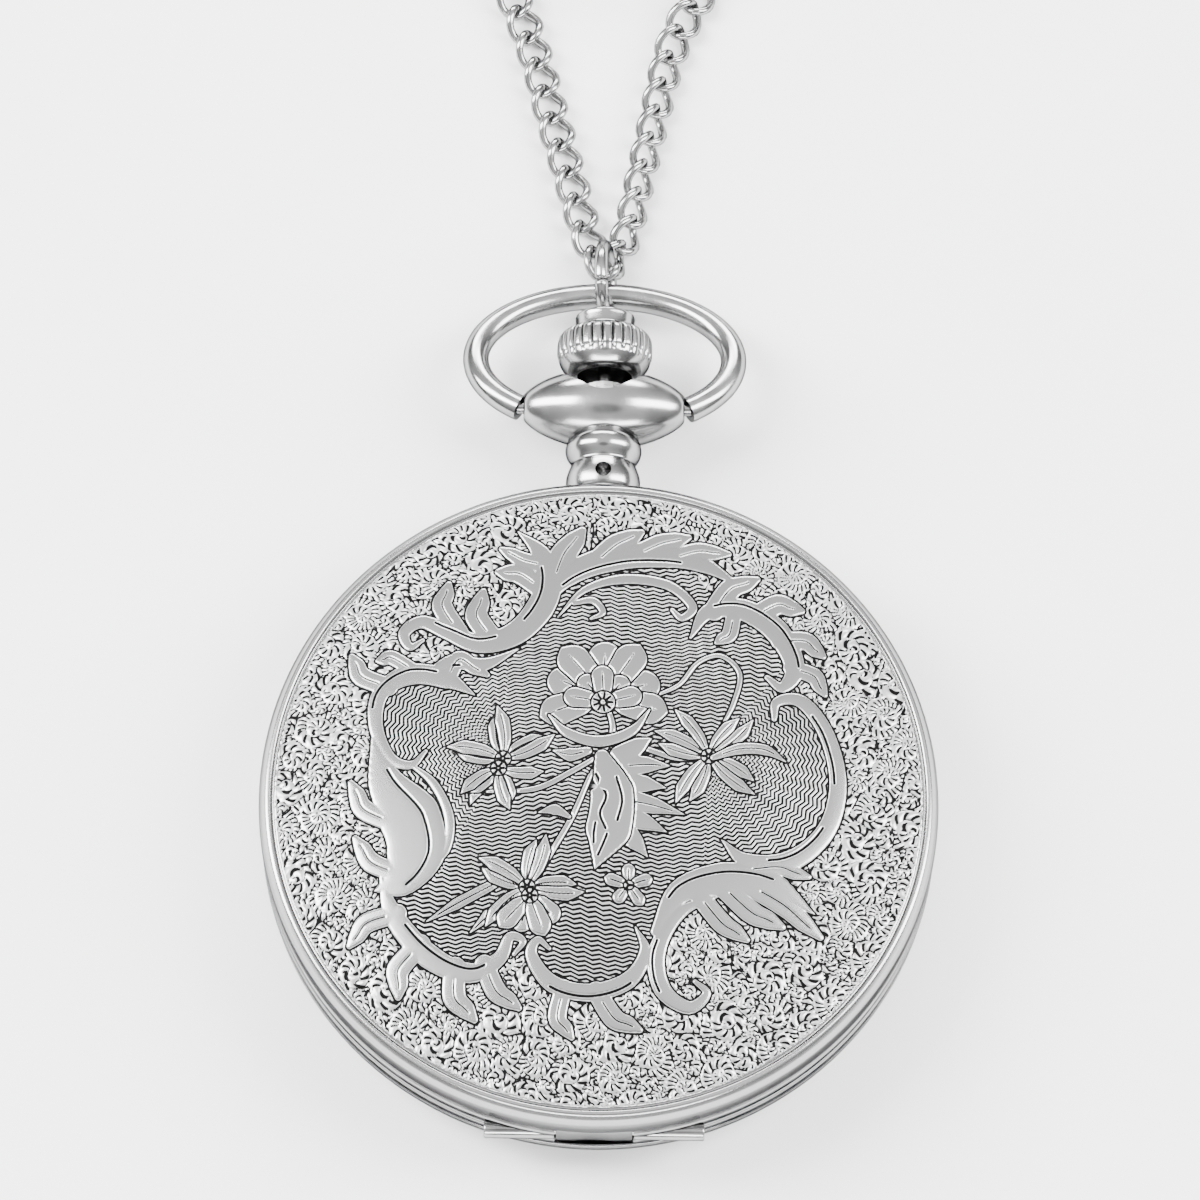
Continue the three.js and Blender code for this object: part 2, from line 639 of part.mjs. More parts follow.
function fourthWheel() {
  const wheel = wheelTo(FOURTH, ESCAPE, FOURTH_MODULE, FOURTH_TEETH, 3.05, 3.3);
  const pinion = pinionTo(FOURTH, THIRD, THIRD_MODULE, FOURTH_PINION, 4.15, 4.8);
  return joined(wheel, pinion, post(FOURTH, 0.22, PIVOT_LOW, 7.7, 10));
}

const ESCAPE_RADIUS = 2.35;
const ESCAPE_TEETH = 15;

function escapeWheel() {
  const outline = [];
  for (let i = 0; i < ESCAPE_TEETH; i += 1) {
    const angle = i * 360 / ESCAPE_TEETH;
    outline.push(polar(ESCAPE, ESCAPE_RADIUS, angle));
    outline.push(polar(ESCAPE, ESCAPE_RADIUS - 0.55, angle + 4));
    outline.push(polar(ESCAPE, ESCAPE_RADIUS - 0.6, angle + 16));
  }
  const wheel = plateOf(outline, ESCAPE_LOW, ESCAPE_HIGH);
  const pinion = pinionTo(ESCAPE, FOURTH, FOURTH_MODULE, ESCAPE_PINION, 3.0, 3.4);
  const arbor = joined(post(ESCAPE, 0.15, PIVOT_LOW, PIVOT_HIGH, 10), post(ESCAPE, 0.26, 3.1, 3.7, 10));
  return joined(wheel, pinion, arbor);
}

function palletFork() {
  const toWheel = THREE.MathUtils.radToDeg(bearing(ESCAPE, PALLET));
  const entry = polar(ESCAPE, ESCAPE_RADIUS + 0.45, toWheel + 36);
  const exit = polar(ESCAPE, ESCAPE_RADIUS + 0.45, toWheel - 36);
  const bar = (a, b, width) => {
    const across = b.clone().sub(a).normalize().multiplyScalar(width / 2);
    const side = new THREE.Vector2(-across.y, across.x);
    const corners = [
      a.clone().sub(across).sub(side), b.clone().add(across).sub(side),
      b.clone().add(across).add(side), a.clone().sub(across).add(side)];
    return plateOf(corners, ESCAPE_LOW, ESCAPE_HIGH);
  };
  const toBalance = THREE.MathUtils.radToDeg(bearing(PALLET, BALANCE));
  const reach = PALLET.distanceTo(BALANCE) - 1.35;
  const lever = bar(PALLET, polar(PALLET, reach, toBalance), 0.4);
  const staff = post(PALLET, 0.15, 3.1, PIVOT_HIGH, 10);
  return joined(bar(entry, PALLET, 0.35), bar(PALLET, exit, 0.35), lever, staff);
}

function balanceWheel() {
  const rimRing = turned([[4.5, 2.5], [5.2, 2.5], [5.2, 2.9], [4.5, 2.9]], 28, BALANCE);
  const arm = block(BALANCE.x - 4.7, BALANCE.x + 4.7, BALANCE.y - 0.35, BALANCE.y + 0.35, 2.55, 2.85);
  const staff = post(BALANCE, 0.15, PIVOT_LOW, PIVOT_HIGH, 10);
  const roller = post(BALANCE, 0.8, ESCAPE_LOW, ESCAPE_HIGH, 14);
  return joined(rimRing, arm, staff, roller);
}

function hairspring() {
  return spiral(BALANCE, 0.6, 2.2, 3, 0.08, 3.05, 3.25);
}

// ---------------------------------------------------------------- movement: motion work
function cannonPinion() {
  const pinion = wheelTo(CENTER, MINUTE, MOTION_MODULE, CANNON_TEETH, 6.5, 6.85);
  const pipe = post(CENTER, 0.62, 6.6, 8.5, 14);
  return joined(pinion, pipe).subtract(post(CENTER, 0.34, 6, 9, 14));
}

function minuteWheel() {
  const wheel = pinionTo(MINUTE, CENTER, MOTION_MODULE, MINUTE_TEETH, 6.5, 6.75);
  const pinion = wheelTo(MINUTE, CENTER, RETURN_MODULE, MINUTE_PINION, 6.7, 7.15);
  return joined(wheel, pinion).subtract(post(MINUTE, 0.25, 6, 8, 12));
}

function hourWheel() {
  const wheel = pinionTo(CENTER, MINUTE, RETURN_MODULE, HOUR_TEETH, 6.92, 7.15);
  const pipe = post(CENTER, 1.0, 7.0, 8.15, 16);
  return joined(wheel, pipe).subtract(post(CENTER, 0.7, 6, 9, 14));
}

// ---------------------------------------------------------------- movement: keyless work
function windingPinion() {
  return turnedOnStem([[0.6, 14.9], [1.0, 14.9], [1.0, 16.0], [0.6, 16.0]], 12);
}

function slidingClutch() {
  return turnedOnStem([
    [0.6, 13.0], [1.0, 13.0], [1.0, 13.5], [0.75, 13.6], [0.75, 13.9], [1.0, 14.0],
    [1.0, 14.6], [0.6, 14.6]], 12);
}

function settingLever() {
  const outline = [
    new THREE.Vector2(4.3, 14.6), new THREE.Vector2(4.3, 15.8), new THREE.Vector2(2.9, 16.2),
    new THREE.Vector2(2.4, 15.2), new THREE.Vector2(1.3, 14.0), new THREE.Vector2(1.4, 13.5),
    new THREE.Vector2(3.2, 14.4)];
  return plateOf(outline, 6.5, 6.85);
}

function click() {
  const outline = [
    CLICK.clone().add(new THREE.Vector2(-0.6, -0.5)),
    CLICK.clone().add(new THREE.Vector2(0.4, -0.6)),
    CLICK.clone().add(new THREE.Vector2(0.55, 0.4)),
    CLICK.clone().add(new THREE.Vector2(0.5, 1.6)),
    CLICK.clone().add(new THREE.Vector2(-0.7, 0.5))];
  return plateOf(outline, WINDING_LOW, WINDING_HIGH);
}

// ---------------------------------------------------------------- dial and hands
function dial() {
  const face = turned([[0, DIAL_LOW], [18.3, DIAL_LOW], [18.3, DIAL_HIGH], [0, DIAL_HIGH]]);
  const middle = post(CENTER, 1.15, DIAL_LOW - CUT, DIAL_HIGH + CUT, 16);
  const seconds = post(FOURTH, 0.4, DIAL_LOW - CUT, DIAL_HIGH + CUT, 12);
  return face.subtract(middle).subtract(seconds);
}

// A leaf-shaped hand pointing to twelve from a round hub with a hole.
function hand(at, hub, hole, waist, belly, length, tail, low, high) {
  const blade = plateOf([
    new THREE.Vector2(at.x + waist, at.y - tail),
    new THREE.Vector2(at.x + waist, at.y + 0.35 * length),
    new THREE.Vector2(at.x + belly, at.y + 0.6 * length),
    new THREE.Vector2(at.x, at.y + length),
    new THREE.Vector2(at.x - belly, at.y + 0.6 * length),
    new THREE.Vector2(at.x - waist, at.y + 0.35 * length),
    new THREE.Vector2(at.x - waist, at.y - tail)], low, high);
  const disc = post(at, hub, low, high, 16);
  return joined(disc, blade).subtract(post(at, hole, low - CUT, high + CUT, 14));
}

function hourHand() {
  return hand(CENTER, 1.6, 1.04, 0.25, 0.85, 9.4, 0, 7.95, 8.12);
}

function minuteHand() {
  return hand(CENTER, 1.2, 0.66, 0.2, 0.6, 15.2, 0, 8.28, 8.45);
}

function secondsHand() {
  return hand(FOURTH, 0.5, 0.26, 0.09, 0.14, 3.3, 1.1, 7.72, 7.84);
}

// ---------------------------------------------------------------- assembly
place('case_band', caseBand(), SILVER);
place('pendant', pendant(), SILVER);
place('lid_hinge_pin', lidHingePin(), STEEL);
place('lift_spring', liftSpring(), STEEL);
place('back_cover', backCover(), SILVER);
place('crystal_bezel', crystalBezel(), SILVER);
place('crystal_gasket', crystalGasket(), PLASTIC);
place('crystal', crystal(), CLEAR);
place('movement_ring', movementRing(), PLASTIC);
place('main_plate', mainPlate(), GILT);
place('barrel_bridge', barrelBridge(), GILT);
place('train_bridge', trainBridge(), GILT);
place('balance_cock', balanceCock(), GILT);
place('pallet_cock', palletCock(), GILT);
BARREL_PILLARS.forEach((at, i) => place(`barrel_bridge_screw_${i + 1}`, bridgeScrew(at), STEEL));
TRAIN_PILLARS.forEach((at, i) => place(`train_bridge_screw_${i + 1}`, bridgeScrew(at), STEEL));
place('balance_cock_screw', bridgeScrew(COCK_PILLAR), STEEL);
place('hairspring', hairspring(), BLUED);
place('dial', dial(), ENAMEL);

place('front_lid', frontLid(), SILVER);
place('latch_spring', latchSpring(), STEEL);

place('push_sleeve', pushSleeve(), STEEL);
place('winding_stem', windingStem(), STEEL);
place('winding_pinion', windingPinion(), STEEL);
place('sliding_clutch', slidingClutch(), STEEL);
place('crown', crown(), SILVER);
place('setting_lever', settingLever(), STEEL);

place('bow', bow(), SILVER);
place('jump_ring', jumpRing(), SILVER);
place('chain_left_strand', strand(LEFT_STRAND), SILVER);
place('chain_right_strand', strand(RIGHT_STRAND), SILVER);
place('chain_coil', chainCoil(), SILVER);

place('ratchet_wheel', ratchetWheel(), STEEL);
place('barrel_arbor', barrelArbor(), STEEL);
place('crown_wheel', crownWheel(), STEEL);
place('click', click(), STEEL);
place('mainspring_barrel', mainspringBarrel(), GILT);
place('mainspring', mainspring(), BLUED);
place('center_wheel', centerWheel(), GILT);
place('third_wheel', thirdWheel(), GILT);
place('fourth_wheel', fourthWheel(), GILT);
place('escape_wheel', escapeWheel(), STEEL);
place('pallet_fork', palletFork(), STEEL);
place('balance_wheel', balanceWheel(), GILT);

place('cannon_pinion', cannonPinion(), STEEL);
place('minute_wheel', minuteWheel(), GILT);
place('hour_wheel', hourWheel(), GILT);
place('hour_hand', hourHand(), BLUED);
place('minute_hand', minuteHand(), BLUED);
place('seconds_hand', secondsHand(), BLUED);

export default watch;
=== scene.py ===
"""A hunter pocket watch lying on its back: engraved lid, pendant, crown, bow and curb necklace chain."""
import json
import math

import bmesh
import bpy
import numpy as np
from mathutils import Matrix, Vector


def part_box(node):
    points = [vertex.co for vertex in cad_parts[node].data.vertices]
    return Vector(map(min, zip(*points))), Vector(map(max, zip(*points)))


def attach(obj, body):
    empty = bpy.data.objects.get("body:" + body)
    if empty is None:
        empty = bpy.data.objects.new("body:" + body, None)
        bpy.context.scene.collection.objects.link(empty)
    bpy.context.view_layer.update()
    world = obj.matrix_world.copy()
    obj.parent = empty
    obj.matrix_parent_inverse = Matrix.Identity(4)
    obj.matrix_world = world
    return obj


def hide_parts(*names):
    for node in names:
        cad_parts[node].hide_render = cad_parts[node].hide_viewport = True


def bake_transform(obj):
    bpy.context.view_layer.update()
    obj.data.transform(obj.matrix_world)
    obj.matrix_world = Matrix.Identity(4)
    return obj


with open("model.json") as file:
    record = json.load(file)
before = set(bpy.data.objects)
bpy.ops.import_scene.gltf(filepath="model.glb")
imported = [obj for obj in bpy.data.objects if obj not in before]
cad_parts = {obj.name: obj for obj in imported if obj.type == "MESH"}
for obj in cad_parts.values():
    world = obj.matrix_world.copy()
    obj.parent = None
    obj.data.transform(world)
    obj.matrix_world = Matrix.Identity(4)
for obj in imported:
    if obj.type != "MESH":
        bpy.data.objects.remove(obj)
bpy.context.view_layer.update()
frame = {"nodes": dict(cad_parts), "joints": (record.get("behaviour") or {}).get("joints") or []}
MM = 0.001
RNG = np.random.default_rng(7)

# ------------------------------------------------------------------ places, all in millimetres


def box_mm(node):
    low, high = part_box(node)
    return np.array(low) / MM, np.array(high) / MM


CASE_R = box_mm("back_cover")[1][0]  # outer radius of the case
LID_Z = box_mm("front_lid")[1][2]  # top of the lid's dome
JOINTS = {j["name"]: j for j in frame["joints"]}
PIVOT_Y, STEM_Z = (JOINTS["bow_swing"]["pos_m"][i] / MM for i in (1, 2))
HINGE_Y, HINGE_Z = (JOINTS["lid_hinge"]["pos_m"][i] / MM for i in (1, 2))
RING_LOW, RING_HIGH = box_mm("jump_ring")
COIL_LOW, COIL_HIGH = box_mm("chain_coil")
SECONDS_REACH = 3.3  # from the seconds hand's axis to its tip
SECONDS_AT = (0, box_mm("seconds_hand")[1][1] - SECONDS_REACH)

# ------------------------------------------------------------------ camera
VIEW_ELEVATION = 69  # degrees above the table
VIEW_ROLL = 0.8
SENSOR = 36
VIEW_DISTANCE = 0.45
VIEW_WIDTH = 0.0836  # what the frame covers at the watch
AIM = Vector((-0.0001, 0.0149, 0.0085))


def make_camera():
    data = bpy.data.cameras.new("camera")
    data.sensor_width = SENSOR
    data.lens = SENSOR * VIEW_DISTANCE / VIEW_WIDTH
    data.clip_start = 0.01
    data.clip_end = 20
    camera = bpy.data.objects.new("camera", data)
    bpy.context.collection.objects.link(camera)
    tilt = math.radians(VIEW_ELEVATION)
    camera.location = AIM + VIEW_DISTANCE * Vector((0, -math.cos(tilt), math.sin(tilt)))
    look = (AIM - camera.location).to_track_quat("-Z", "Y")
    camera.rotation_euler = look.to_euler()
    camera.rotation_euler.rotate_axis("Z", math.radians(VIEW_ROLL))
    bpy.context.scene.camera = camera


# ------------------------------------------------------------------ mesh helpers
WELD = 1e-7  # metres between points that are made one
ON_AXIS = 1e-6


def new_mesh(name, points, faces, smooth=True):
    """Makes an object from points in millimetres and faces of three or four corners."""
    mesh = bpy.data.meshes.new(name)
    points = np.asarray(points, float) * MM
    faces = [np.asarray(f, np.int32) for f in faces if len(f)]
    mesh.vertices.add(len(points))
    mesh.vertices.foreach_set("co", points.ravel())
    loops = np.concatenate([f.ravel() for f in faces])
    sizes = np.concatenate([np.full(len(f), f.shape[1], np.int32) for f in faces])
    mesh.loops.add(len(loops))
    mesh.loops.foreach_set("vertex_index", loops)
    mesh.polygons.add(len(sizes))
    starts = np.concatenate([[0], np.cumsum(sizes)[:-1]])
    mesh.polygons.foreach_set("loop_start", starts.astype(np.int32))
    mesh.update(calc_edges=True)
    mesh.validate()
    if smooth:
        mesh.shade_smooth()
    obj = bpy.data.objects.new(name, mesh)
    bpy.context.collection.objects.link(obj)
    return obj


def sharpen(obj, degrees=35):
    """Smooth shading with hard edges where faces meet at more than the given angle."""
    mesh = obj.data
    mesh.shade_smooth()
    mesh.set_sharp_from_angle(angle=math.radians(degrees))


def grid_faces(rows, columns, close_rows=False, close_columns=False):
    """Quads over a grid of rows x columns points, numbered row by row."""
    r = np.arange(rows if close_rows else rows - 1)
    c = np.arange(columns if close_columns else columns - 1)
    rr, cc = np.meshgrid(r, c, indexing="ij")
    r2 = (rr + 1) % rows
    c2 = (cc + 1) % columns
    quads = np.stack([rr * columns + cc, rr * columns + c2, r2 * columns + c2, r2 * columns + cc], -1)
    return quads.reshape(-1, 4)


def lathe(name, profile, segments=128, axis="z", at=(0, 0, 0), closed=True):
    """Turns a list of (radius, height) about an axis. A closed profile is a ring; radius 0 makes a pole."""
    profile = np.asarray(profile, float)
    angle = np.arange(segments) * 2 * math.pi / segments
    r, h = profile[:, :1], profile[:, 1:]
    a = r * np.cos(angle)
    b = r * np.sin(angle)
    h = np.repeat(h, segments, 1)
    turned = {"z": (a, b, h), "y": (b, h, a), "x": (h, a, b)}[axis]
    points = np.stack(turned, -1).reshape(-1, 3) + np.asarray(at, float)
    faces = grid_faces(len(profile), segments, closed, True)
    obj = new_mesh(name, points, [faces])
    tidy(obj)
    return obj


def edit_mesh(obj, *steps):
    """Runs each step on the object's mesh."""
    work = bmesh.new()
    work.from_mesh(obj.data)
    for step in steps:
        step(work)
    work.to_mesh(obj.data)
    work.free()


def weld(work):
    bmesh.ops.remove_doubles(work, verts=work.verts, dist=WELD)
    bmesh.ops.dissolve_degenerate(work, edges=work.edges, dist=WELD)


def face_outward(work):
    bmesh.ops.recalc_face_normals(work, faces=work.faces)


def tidy(obj):
    """Welds poles and seams and turns every face outward."""
    edit_mesh(obj, weld, face_outward)
    obj.data.shade_smooth()


def rounded(profile, radius=0.15, steps=4):
    """Rounds each corner of a closed (radius, height) outline; points on the axis stay sharp."""
    p = np.asarray(profile, float)
    out = []
    for i, here in enumerate(p):
        before, after = p[i - 1], p[(i + 1) % len(p)]
        if here[0] < ON_AXIS:
            out.append(here)
            continue
        a, b = before - here, after - here
        la, lb = np.linalg.norm(a), np.linalg.norm(b)
        cut = min(radius, 0.45 * la, 0.45 * lb)
        start, end = here + a / la * cut, here + b / lb * cut
        for k in range(steps + 1):
            t = k / steps
            out.append((1 - t) ** 2 * start + 2 * t * (1 - t) * here + t * t * end)
    return np.array(out)


def spline(points, per_span=8, closed=False):
    """A Catmull-Rom curve through the points."""
    p = np.asarray(points, float)
    n = len(p)
    spans = n if closed else n - 1
    out = []
    for i in range(spans):
        p1, p2 = p[i], p[(i + 1) % n]
        p0 = p[(i - 1) % n] if closed or i else 2 * p1 - p2
        p3 = p[(i + 2) % n] if closed or i < n - 2 else 2 * p2 - p1
        t = (np.arange(per_span) / per_span)[:, None]
        out.append(0.5 * (2 * p1 + (p2 - p0) * t + (2 * p0 - 5 * p1 + 4 * p2 - p3) * t ** 2
                          + (3 * p1 - p0 - 3 * p2 + p3) * t ** 3))
    if not closed:
        out.append(p[-1:])
    return np.concatenate(out)


def evenly(points, step):
    """The same line, as points a fixed step apart."""
    lengths = np.linalg.norm(np.diff(points, axis=0), axis=1)
    along = np.concatenate([[0], np.cumsum(lengths)])
    count = max(2, int(round(along[-1] / step)) + 1)
    wanted = np.linspace(0, along[-1], count)
    return np.stack([np.interp(wanted, along, points[:, i]) for i in range(points.shape[1])], -1)


def cut(obj, tool, operation="DIFFERENCE"):
    """Cuts or joins with an exact boolean, applied, and removes the tool."""
    modifier = obj.modifiers.new("cut", "BOOLEAN")
    modifier.operation = operation
    modifier.object = tool
    modifier.solver = "EXACT"
    graph = bpy.context.evaluated_depsgraph_get()
    result = bpy.data.meshes.new_from_object(obj.evaluated_get(graph))
    obj.modifiers.clear()
    obj.data = result
    bpy.data.objects.remove(tool)
    sharpen(obj)


# ------------------------------------------------------------------ materials
def attribute_node(nodes, name):
    node = nodes.new("ShaderNodeAttribute")
    node.attribute_name = name
    return node


def new_material(name):
    material = bpy.data.materials.new(name)
    material.use_nodes = True
    nodes = material.node_tree.nodes
    links = material.node_tree.links
    return material, nodes, links, nodes["Principled BSDF"]


def noise(nodes, links, scale, detail=4, stretch=(1, 1, 1)):
    place = nodes.new("ShaderNodeTexCoord")
    mapping = nodes.new("ShaderNodeMapping")
    mapping.inputs["Scale"].default_value = stretch
    texture = nodes.new("ShaderNodeTexNoise")
    texture.inputs["Scale"].default_value = scale
    texture.inputs["Detail"].default_value = detail
    links.new(place.outputs["Object"], mapping.inputs["Vector"])
    links.new(mapping.outputs["Vector"], texture.inputs["Vector"])
    return texture.outputs["Fac"]


def ramp(nodes, links, source, stops):
    node = nodes.new("ShaderNodeValToRGB")
    while len(node.color_ramp.elements) < len(stops):
        node.color_ramp.elements.new(0.5)
    for element, (position, colour) in zip(node.color_ramp.elements, stops):
        element.position = position
        element.color = (*colour, 1)
    links.new(source, node.inputs["Fac"])
    return node.outputs["Color"]


def drive(nodes, links, socket, source, stops):
    """Feeds a socket from a source, through a colour ramp."""
    links.new(ramp(nodes, links, source, stops), socket)


def grey(value):
    return (value, value, value)


EDGE_TINT = (0.06, 0.06, 0.065, 1)  # how much metal reflects where it is seen edge-on
FINER = 6  # how much finer a metal's surface is than its clouds
GRAIN = 0.00005  # height of that surface, in metres


def metal(name, light, dark, rough=(0.12, 0.3), scale=900, bump=0.02, stretch=(1, 1, 1)):
    """Metal whose colour, roughness and fine surface vary a little from place to place."""
    material, nodes, links, shader = new_material(name)
    shader.inputs["Metallic"].default_value = 1
    shader.inputs["Specular Tint"].default_value = EDGE_TINT
    cloud = noise(nodes, links, scale, 5, stretch)
    drive(nodes, links, shader.inputs["Base Color"], cloud, [(0.3, dark), (0.7, light)])
    drive(nodes, links, shader.inputs["Roughness"], cloud, [(0.35, grey(rough[0])), (0.75, grey(rough[1]))])
    fine = noise(nodes, links, scale * FINER, 3, stretch)
    relief = nodes.new("ShaderNodeBump")
    relief.inputs["Strength"].default_value = bump
    relief.inputs["Distance"].default_value = GRAIN
    links.new(fine, relief.inputs["Height"])
    links.new(relief.outputs["Normal"], shader.inputs["Normal"])
    return material


LINE_CLOUD = 0.14  # how much the clouds blur the edge of a cut line's painted shade


def engraved_metal(name):
    """Plated metal with its cut lines painted near-black, as painted shade in the grooves, and its
    close-pattern lands painted paler, as painted light; the mesh's "line" is 0 in the middle of a line and 1
    clear of it.
    """
    material, nodes, links, shader = new_material(name)
    shader.inputs["Metallic"].default_value = 1
    shader.inputs["Specular Tint"].default_value = EDGE_TINT
    line = attribute_node(nodes, "line").outputs["Fac"]
    cloud = noise(nodes, links, 900, 5)
    mix = nodes.new("ShaderNodeMath")
    mix.operation = "MULTIPLY_ADD"
    mix.inputs[1].default_value = LINE_CLOUD
    links.new(cloud, mix.inputs[0])
    links.new(line, mix.inputs[2])
    # Painted shade: near-black base colour in the middle of a cut line. Painted light: a paler base colour
    # near 0.93, on the close patterns' lands, than at 1.0, on the smooth figures.
    drive(nodes, links, shader.inputs["Base Color"], mix.outputs[0], [
        (0.46, grey(0.006)), (0.6, grey(0.05)), (0.74, grey(0.5)), (0.93, grey(0.58)), (1.0, grey(0.4))])
    drive(nodes, links, shader.inputs["Roughness"], mix.outputs[0], [
        (0.46, grey(0.5)), (0.74, grey(0.4)), (0.93, grey(0.36)), (1.0, grey(0.22))])
    return material


SILVER = metal("plated_silver", grey(0.38), grey(0.31), (0.16, 0.27), 500)
STEEL = metal("steel", grey(0.62), grey(0.5), (0.2, 0.38), 1200, 0.05, (1, 8, 1))
GILT = metal("gilt_brass", (0.86, 0.66, 0.33), (0.74, 0.53, 0.24), (0.22, 0.4), 1500, 0.08)
BLUED = metal("blued_steel", (0.03, 0.07, 0.3), (0.015, 0.03, 0.16), (0.12, 0.25), 900)
ENGRAVED = engraved_metal("engraved_silver_painted_shade_and_light")


def use(obj, material):
    obj.data.materials.clear()
    obj.data.materials.append(material)


def finish_piece(obj, body, slot, material, *nodes):
    use(obj, material)
    if nodes:
        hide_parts(*nodes)
    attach(obj, body)


# ------------------------------------------------------------------ chain
LINK_PITCH = 2.25
LINK_LONG = 1.42  # half the link's length, to the middle of its wire
LINK_WIDE = 1.1
LINK_WIRE = 0.3
LINK_TWIST = 42  # degrees that each end of a link is turned
LINK_POINTS, LINK_SIDES = 26, 8
LEAN_START, LEAN_END = 26, 52  # degrees that the links at the jump ring are rolled
LEAN_LINKS = 13  # how many links that takes to die away
SWAY, SWAY_KEPT = 4, 0.8  # degrees of chance turn, and the share handed to the next link
TOUCH = 0.02  # least height of a link over the table
LIE = 0.72  # height of the chain's middle when it lies on the table
LAYER = 1.6  # height from one layer of turns to the next
COIL_RADII = (19.0, 16.4, 13.8, 11.2)
COIL_START = 225  # degrees round the coil where the left strand joins it
COIL_END = 327
LEFT_STRAND = [(-0.35, 43.75, 1.3), (-0.8, 44.6, 1.0), (-1.45, 46.0, LIE), (-2.6, 50.2, LIE), (-4.2, 56, LIE),
               (-5.9, 62, LIE), (-8.2, 67.6, LIE), (-10.8, 71.6, LIE)]
RIGHT_STRAND = [(11.4, 72.2, 1.4), (8.0, 67.8, 0.9), (4.9, 62, LIE), (3.5, 56, LIE), (2.3, 50, LIE),
                (1.5, 46.0, LIE), (0.9, 44.6, 1.0), (0.4, 43.75, 1.3)]


def coil_points():
    """Four turns inward on the table, a step up, and four turns outward on top of them."""
    centre = np.array([(COIL_LOW[0] + COIL_HIGH[0]) / 2, (COIL_LOW[1] + COIL_HIGH[1]) / 2])
    per_turn = 48  # points
    turns = 2 * len(COIL_RADII) - (COIL_END - COIL_START) / 360
    steps = np.arange(int(turns * per_turn) + 1) / per_turn
    half = turns / 2
    inward = np.minimum(steps, turns - steps)
    radii = np.interp(inward, np.arange(len(COIL_RADII)) + 0.4, COIL_RADII)
    angle = math.radians(COIL_START) - steps * 2 * math.pi
    height = LIE + LAYER * np.clip((steps - half) * 3 + 0.5, 0, 1)
    x = centre[0] + radii * np.cos(angle)
    y = centre[1] + radii * np.sin(angle)
    return np.stack([x, y, height], -1)


def chain_path():
    left = spline(LEFT_STRAND, 6)
    right = spline(RIGHT_STRAND, 6)
    return spline(np.concatenate([left[:-1:3], coil_points()[1:-1], right[1::3]]), 6)


def unit(v):
    return v / np.linalg.norm(v, axis=-1, keepdims=True)


def link_points(centre, along, roll):
    """One curb link: an oval of round wire, twisted a quarter turn from end to end."""
    up = np.array([0, 0, 1.0])
    side = unit(np.cross(up, along))
    up = np.cross(along, side)
    t = np.arange(LINK_POINTS) * 2 * math.pi / LINK_POINTS
    twist = roll + math.radians(LINK_TWIST) * np.cos(t)
    across = np.cos(twist)[:, None] * side + np.sin(twist)[:, None] * up
    line = centre + LINK_LONG * np.cos(t)[:, None] * along + LINK_WIDE * np.sin(t)[:, None] * across
    tangent = unit(np.roll(line, -1, 0) - np.roll(line, 1, 0))
    outward = unit(line - centre)
    first = unit(outward - np.sum(outward * tangent, 1, keepdims=True) * tangent)
    second = np.cross(tangent, first)
    s = np.arange(LINK_SIDES) * 2 * math.pi / LINK_SIDES
    ring = np.cos(s)[None, :, None] * first[:, None] + np.sin(s)[None, :, None] * second[:, None]
    points = (line[:, None] + LINK_WIRE * ring).reshape(-1, 3)
    return points, grid_faces(LINK_POINTS, LINK_SIDES, True, True)


def make_chain():
    path = evenly(chain_path(), 0.5)
    centres = evenly(path, LINK_PITCH)
    tangents = unit(np.gradient(centres, axis=0))
    points, faces, start = [], [], 0
    near_start = np.exp(-(np.arange(len(centres)) / LEAN_LINKS) ** 2)
    lean = math.radians(LEAN_START) * near_start - math.radians(LEAN_END) * near_start[::-1]
    sway = 0
    for centre, along, turn in zip(centres, tangents, lean):
        sway = SWAY_KEPT * sway + RNG.normal(0, math.radians(SWAY))
        p, f = link_points(centre, along, turn + sway)
        p[:, 2] += max(0, TOUCH - p[:, 2].min())
        points.append(p)
        faces.append(f + start)
        start += len(p)
    chain = new_mesh("necklace_chain", np.concatenate(points), [np.concatenate(faces)])
    use(chain, SILVER)
    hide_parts("chain_left_strand", "chain_right_strand", "chain_coil")
    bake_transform(chain)


# ------------------------------------------------------------------ engraving
# Every figure below is in millimetres on the lid, with +Y towards the crown. The engraving is kept as two
# values at each point: "line" is 0 in the middle of a cut line and 1 clear of it, and "level" is how high
# the point lies. The material paints the cut lines near-black from "line", as painted shade in the grooves.
ENGRAVED_R = 22.25  # where the smooth rolled rim begins
RELIEF = 0.16  # from the top of a raised figure to the lowest ground
LINE_DEPTH = 0.07  # how deep a line is cut
LINE = 0.12  # from a line's middle to the clear surface
FULL_RING = 1600  # points round the biggest rings of the engraved meshes
CELL = 0.085  # distance between those rings


def smooth(low, high, value):
    t = np.clip((value - low) / (high - low), 0, 1)
    return t * t * (3 - 2 * t)


def zigzag(turns):
    """A triangle wave between -1 and 1, once per turn."""
    return 4 * np.abs(turns - np.floor(turns + 0.5)) - 1


def clear_of(distance):
    return np.clip(np.abs(distance) / LINE, 0, 1)


def lines(turns, pitch):
    """Parallel cut lines, one per turn."""
    return clear_of((turns - np.floor(turns + 0.5)) * pitch)


def near_line(x, y, points, widths, per_span=6):
    """Signed distance to a tapering curve, negative inside, how far along it, and its half-width there."""
    line = spline(points, per_span)
    along = np.linspace(0, len(points) - 1, len(line))
    width = np.interp(along, np.arange(len(points)), widths)
    best = np.full(len(x), np.inf)
    place = np.zeros(len(x))
    half = np.full(len(x), width[0])
    for i in range(len(line) - 1):
        a, b = line[i], line[i + 1]
        d = b - a
        t = np.clip(((x - a[0]) * d[0] + (y - a[1]) * d[1]) / max(d @ d, 1e-9), 0, 1)
        w = np.maximum(width[i] + t * (width[i + 1] - width[i]), 0.03)
        gap = np.hypot(x - a[0] - t * d[0], y - a[1] - t * d[1]) - w
        closer = gap < best
        best[closer] = gap[closer]
        place[closer] = (i + t[closer]) / (len(line) - 1)
        half[closer] = w[closer]
    return best, place, half


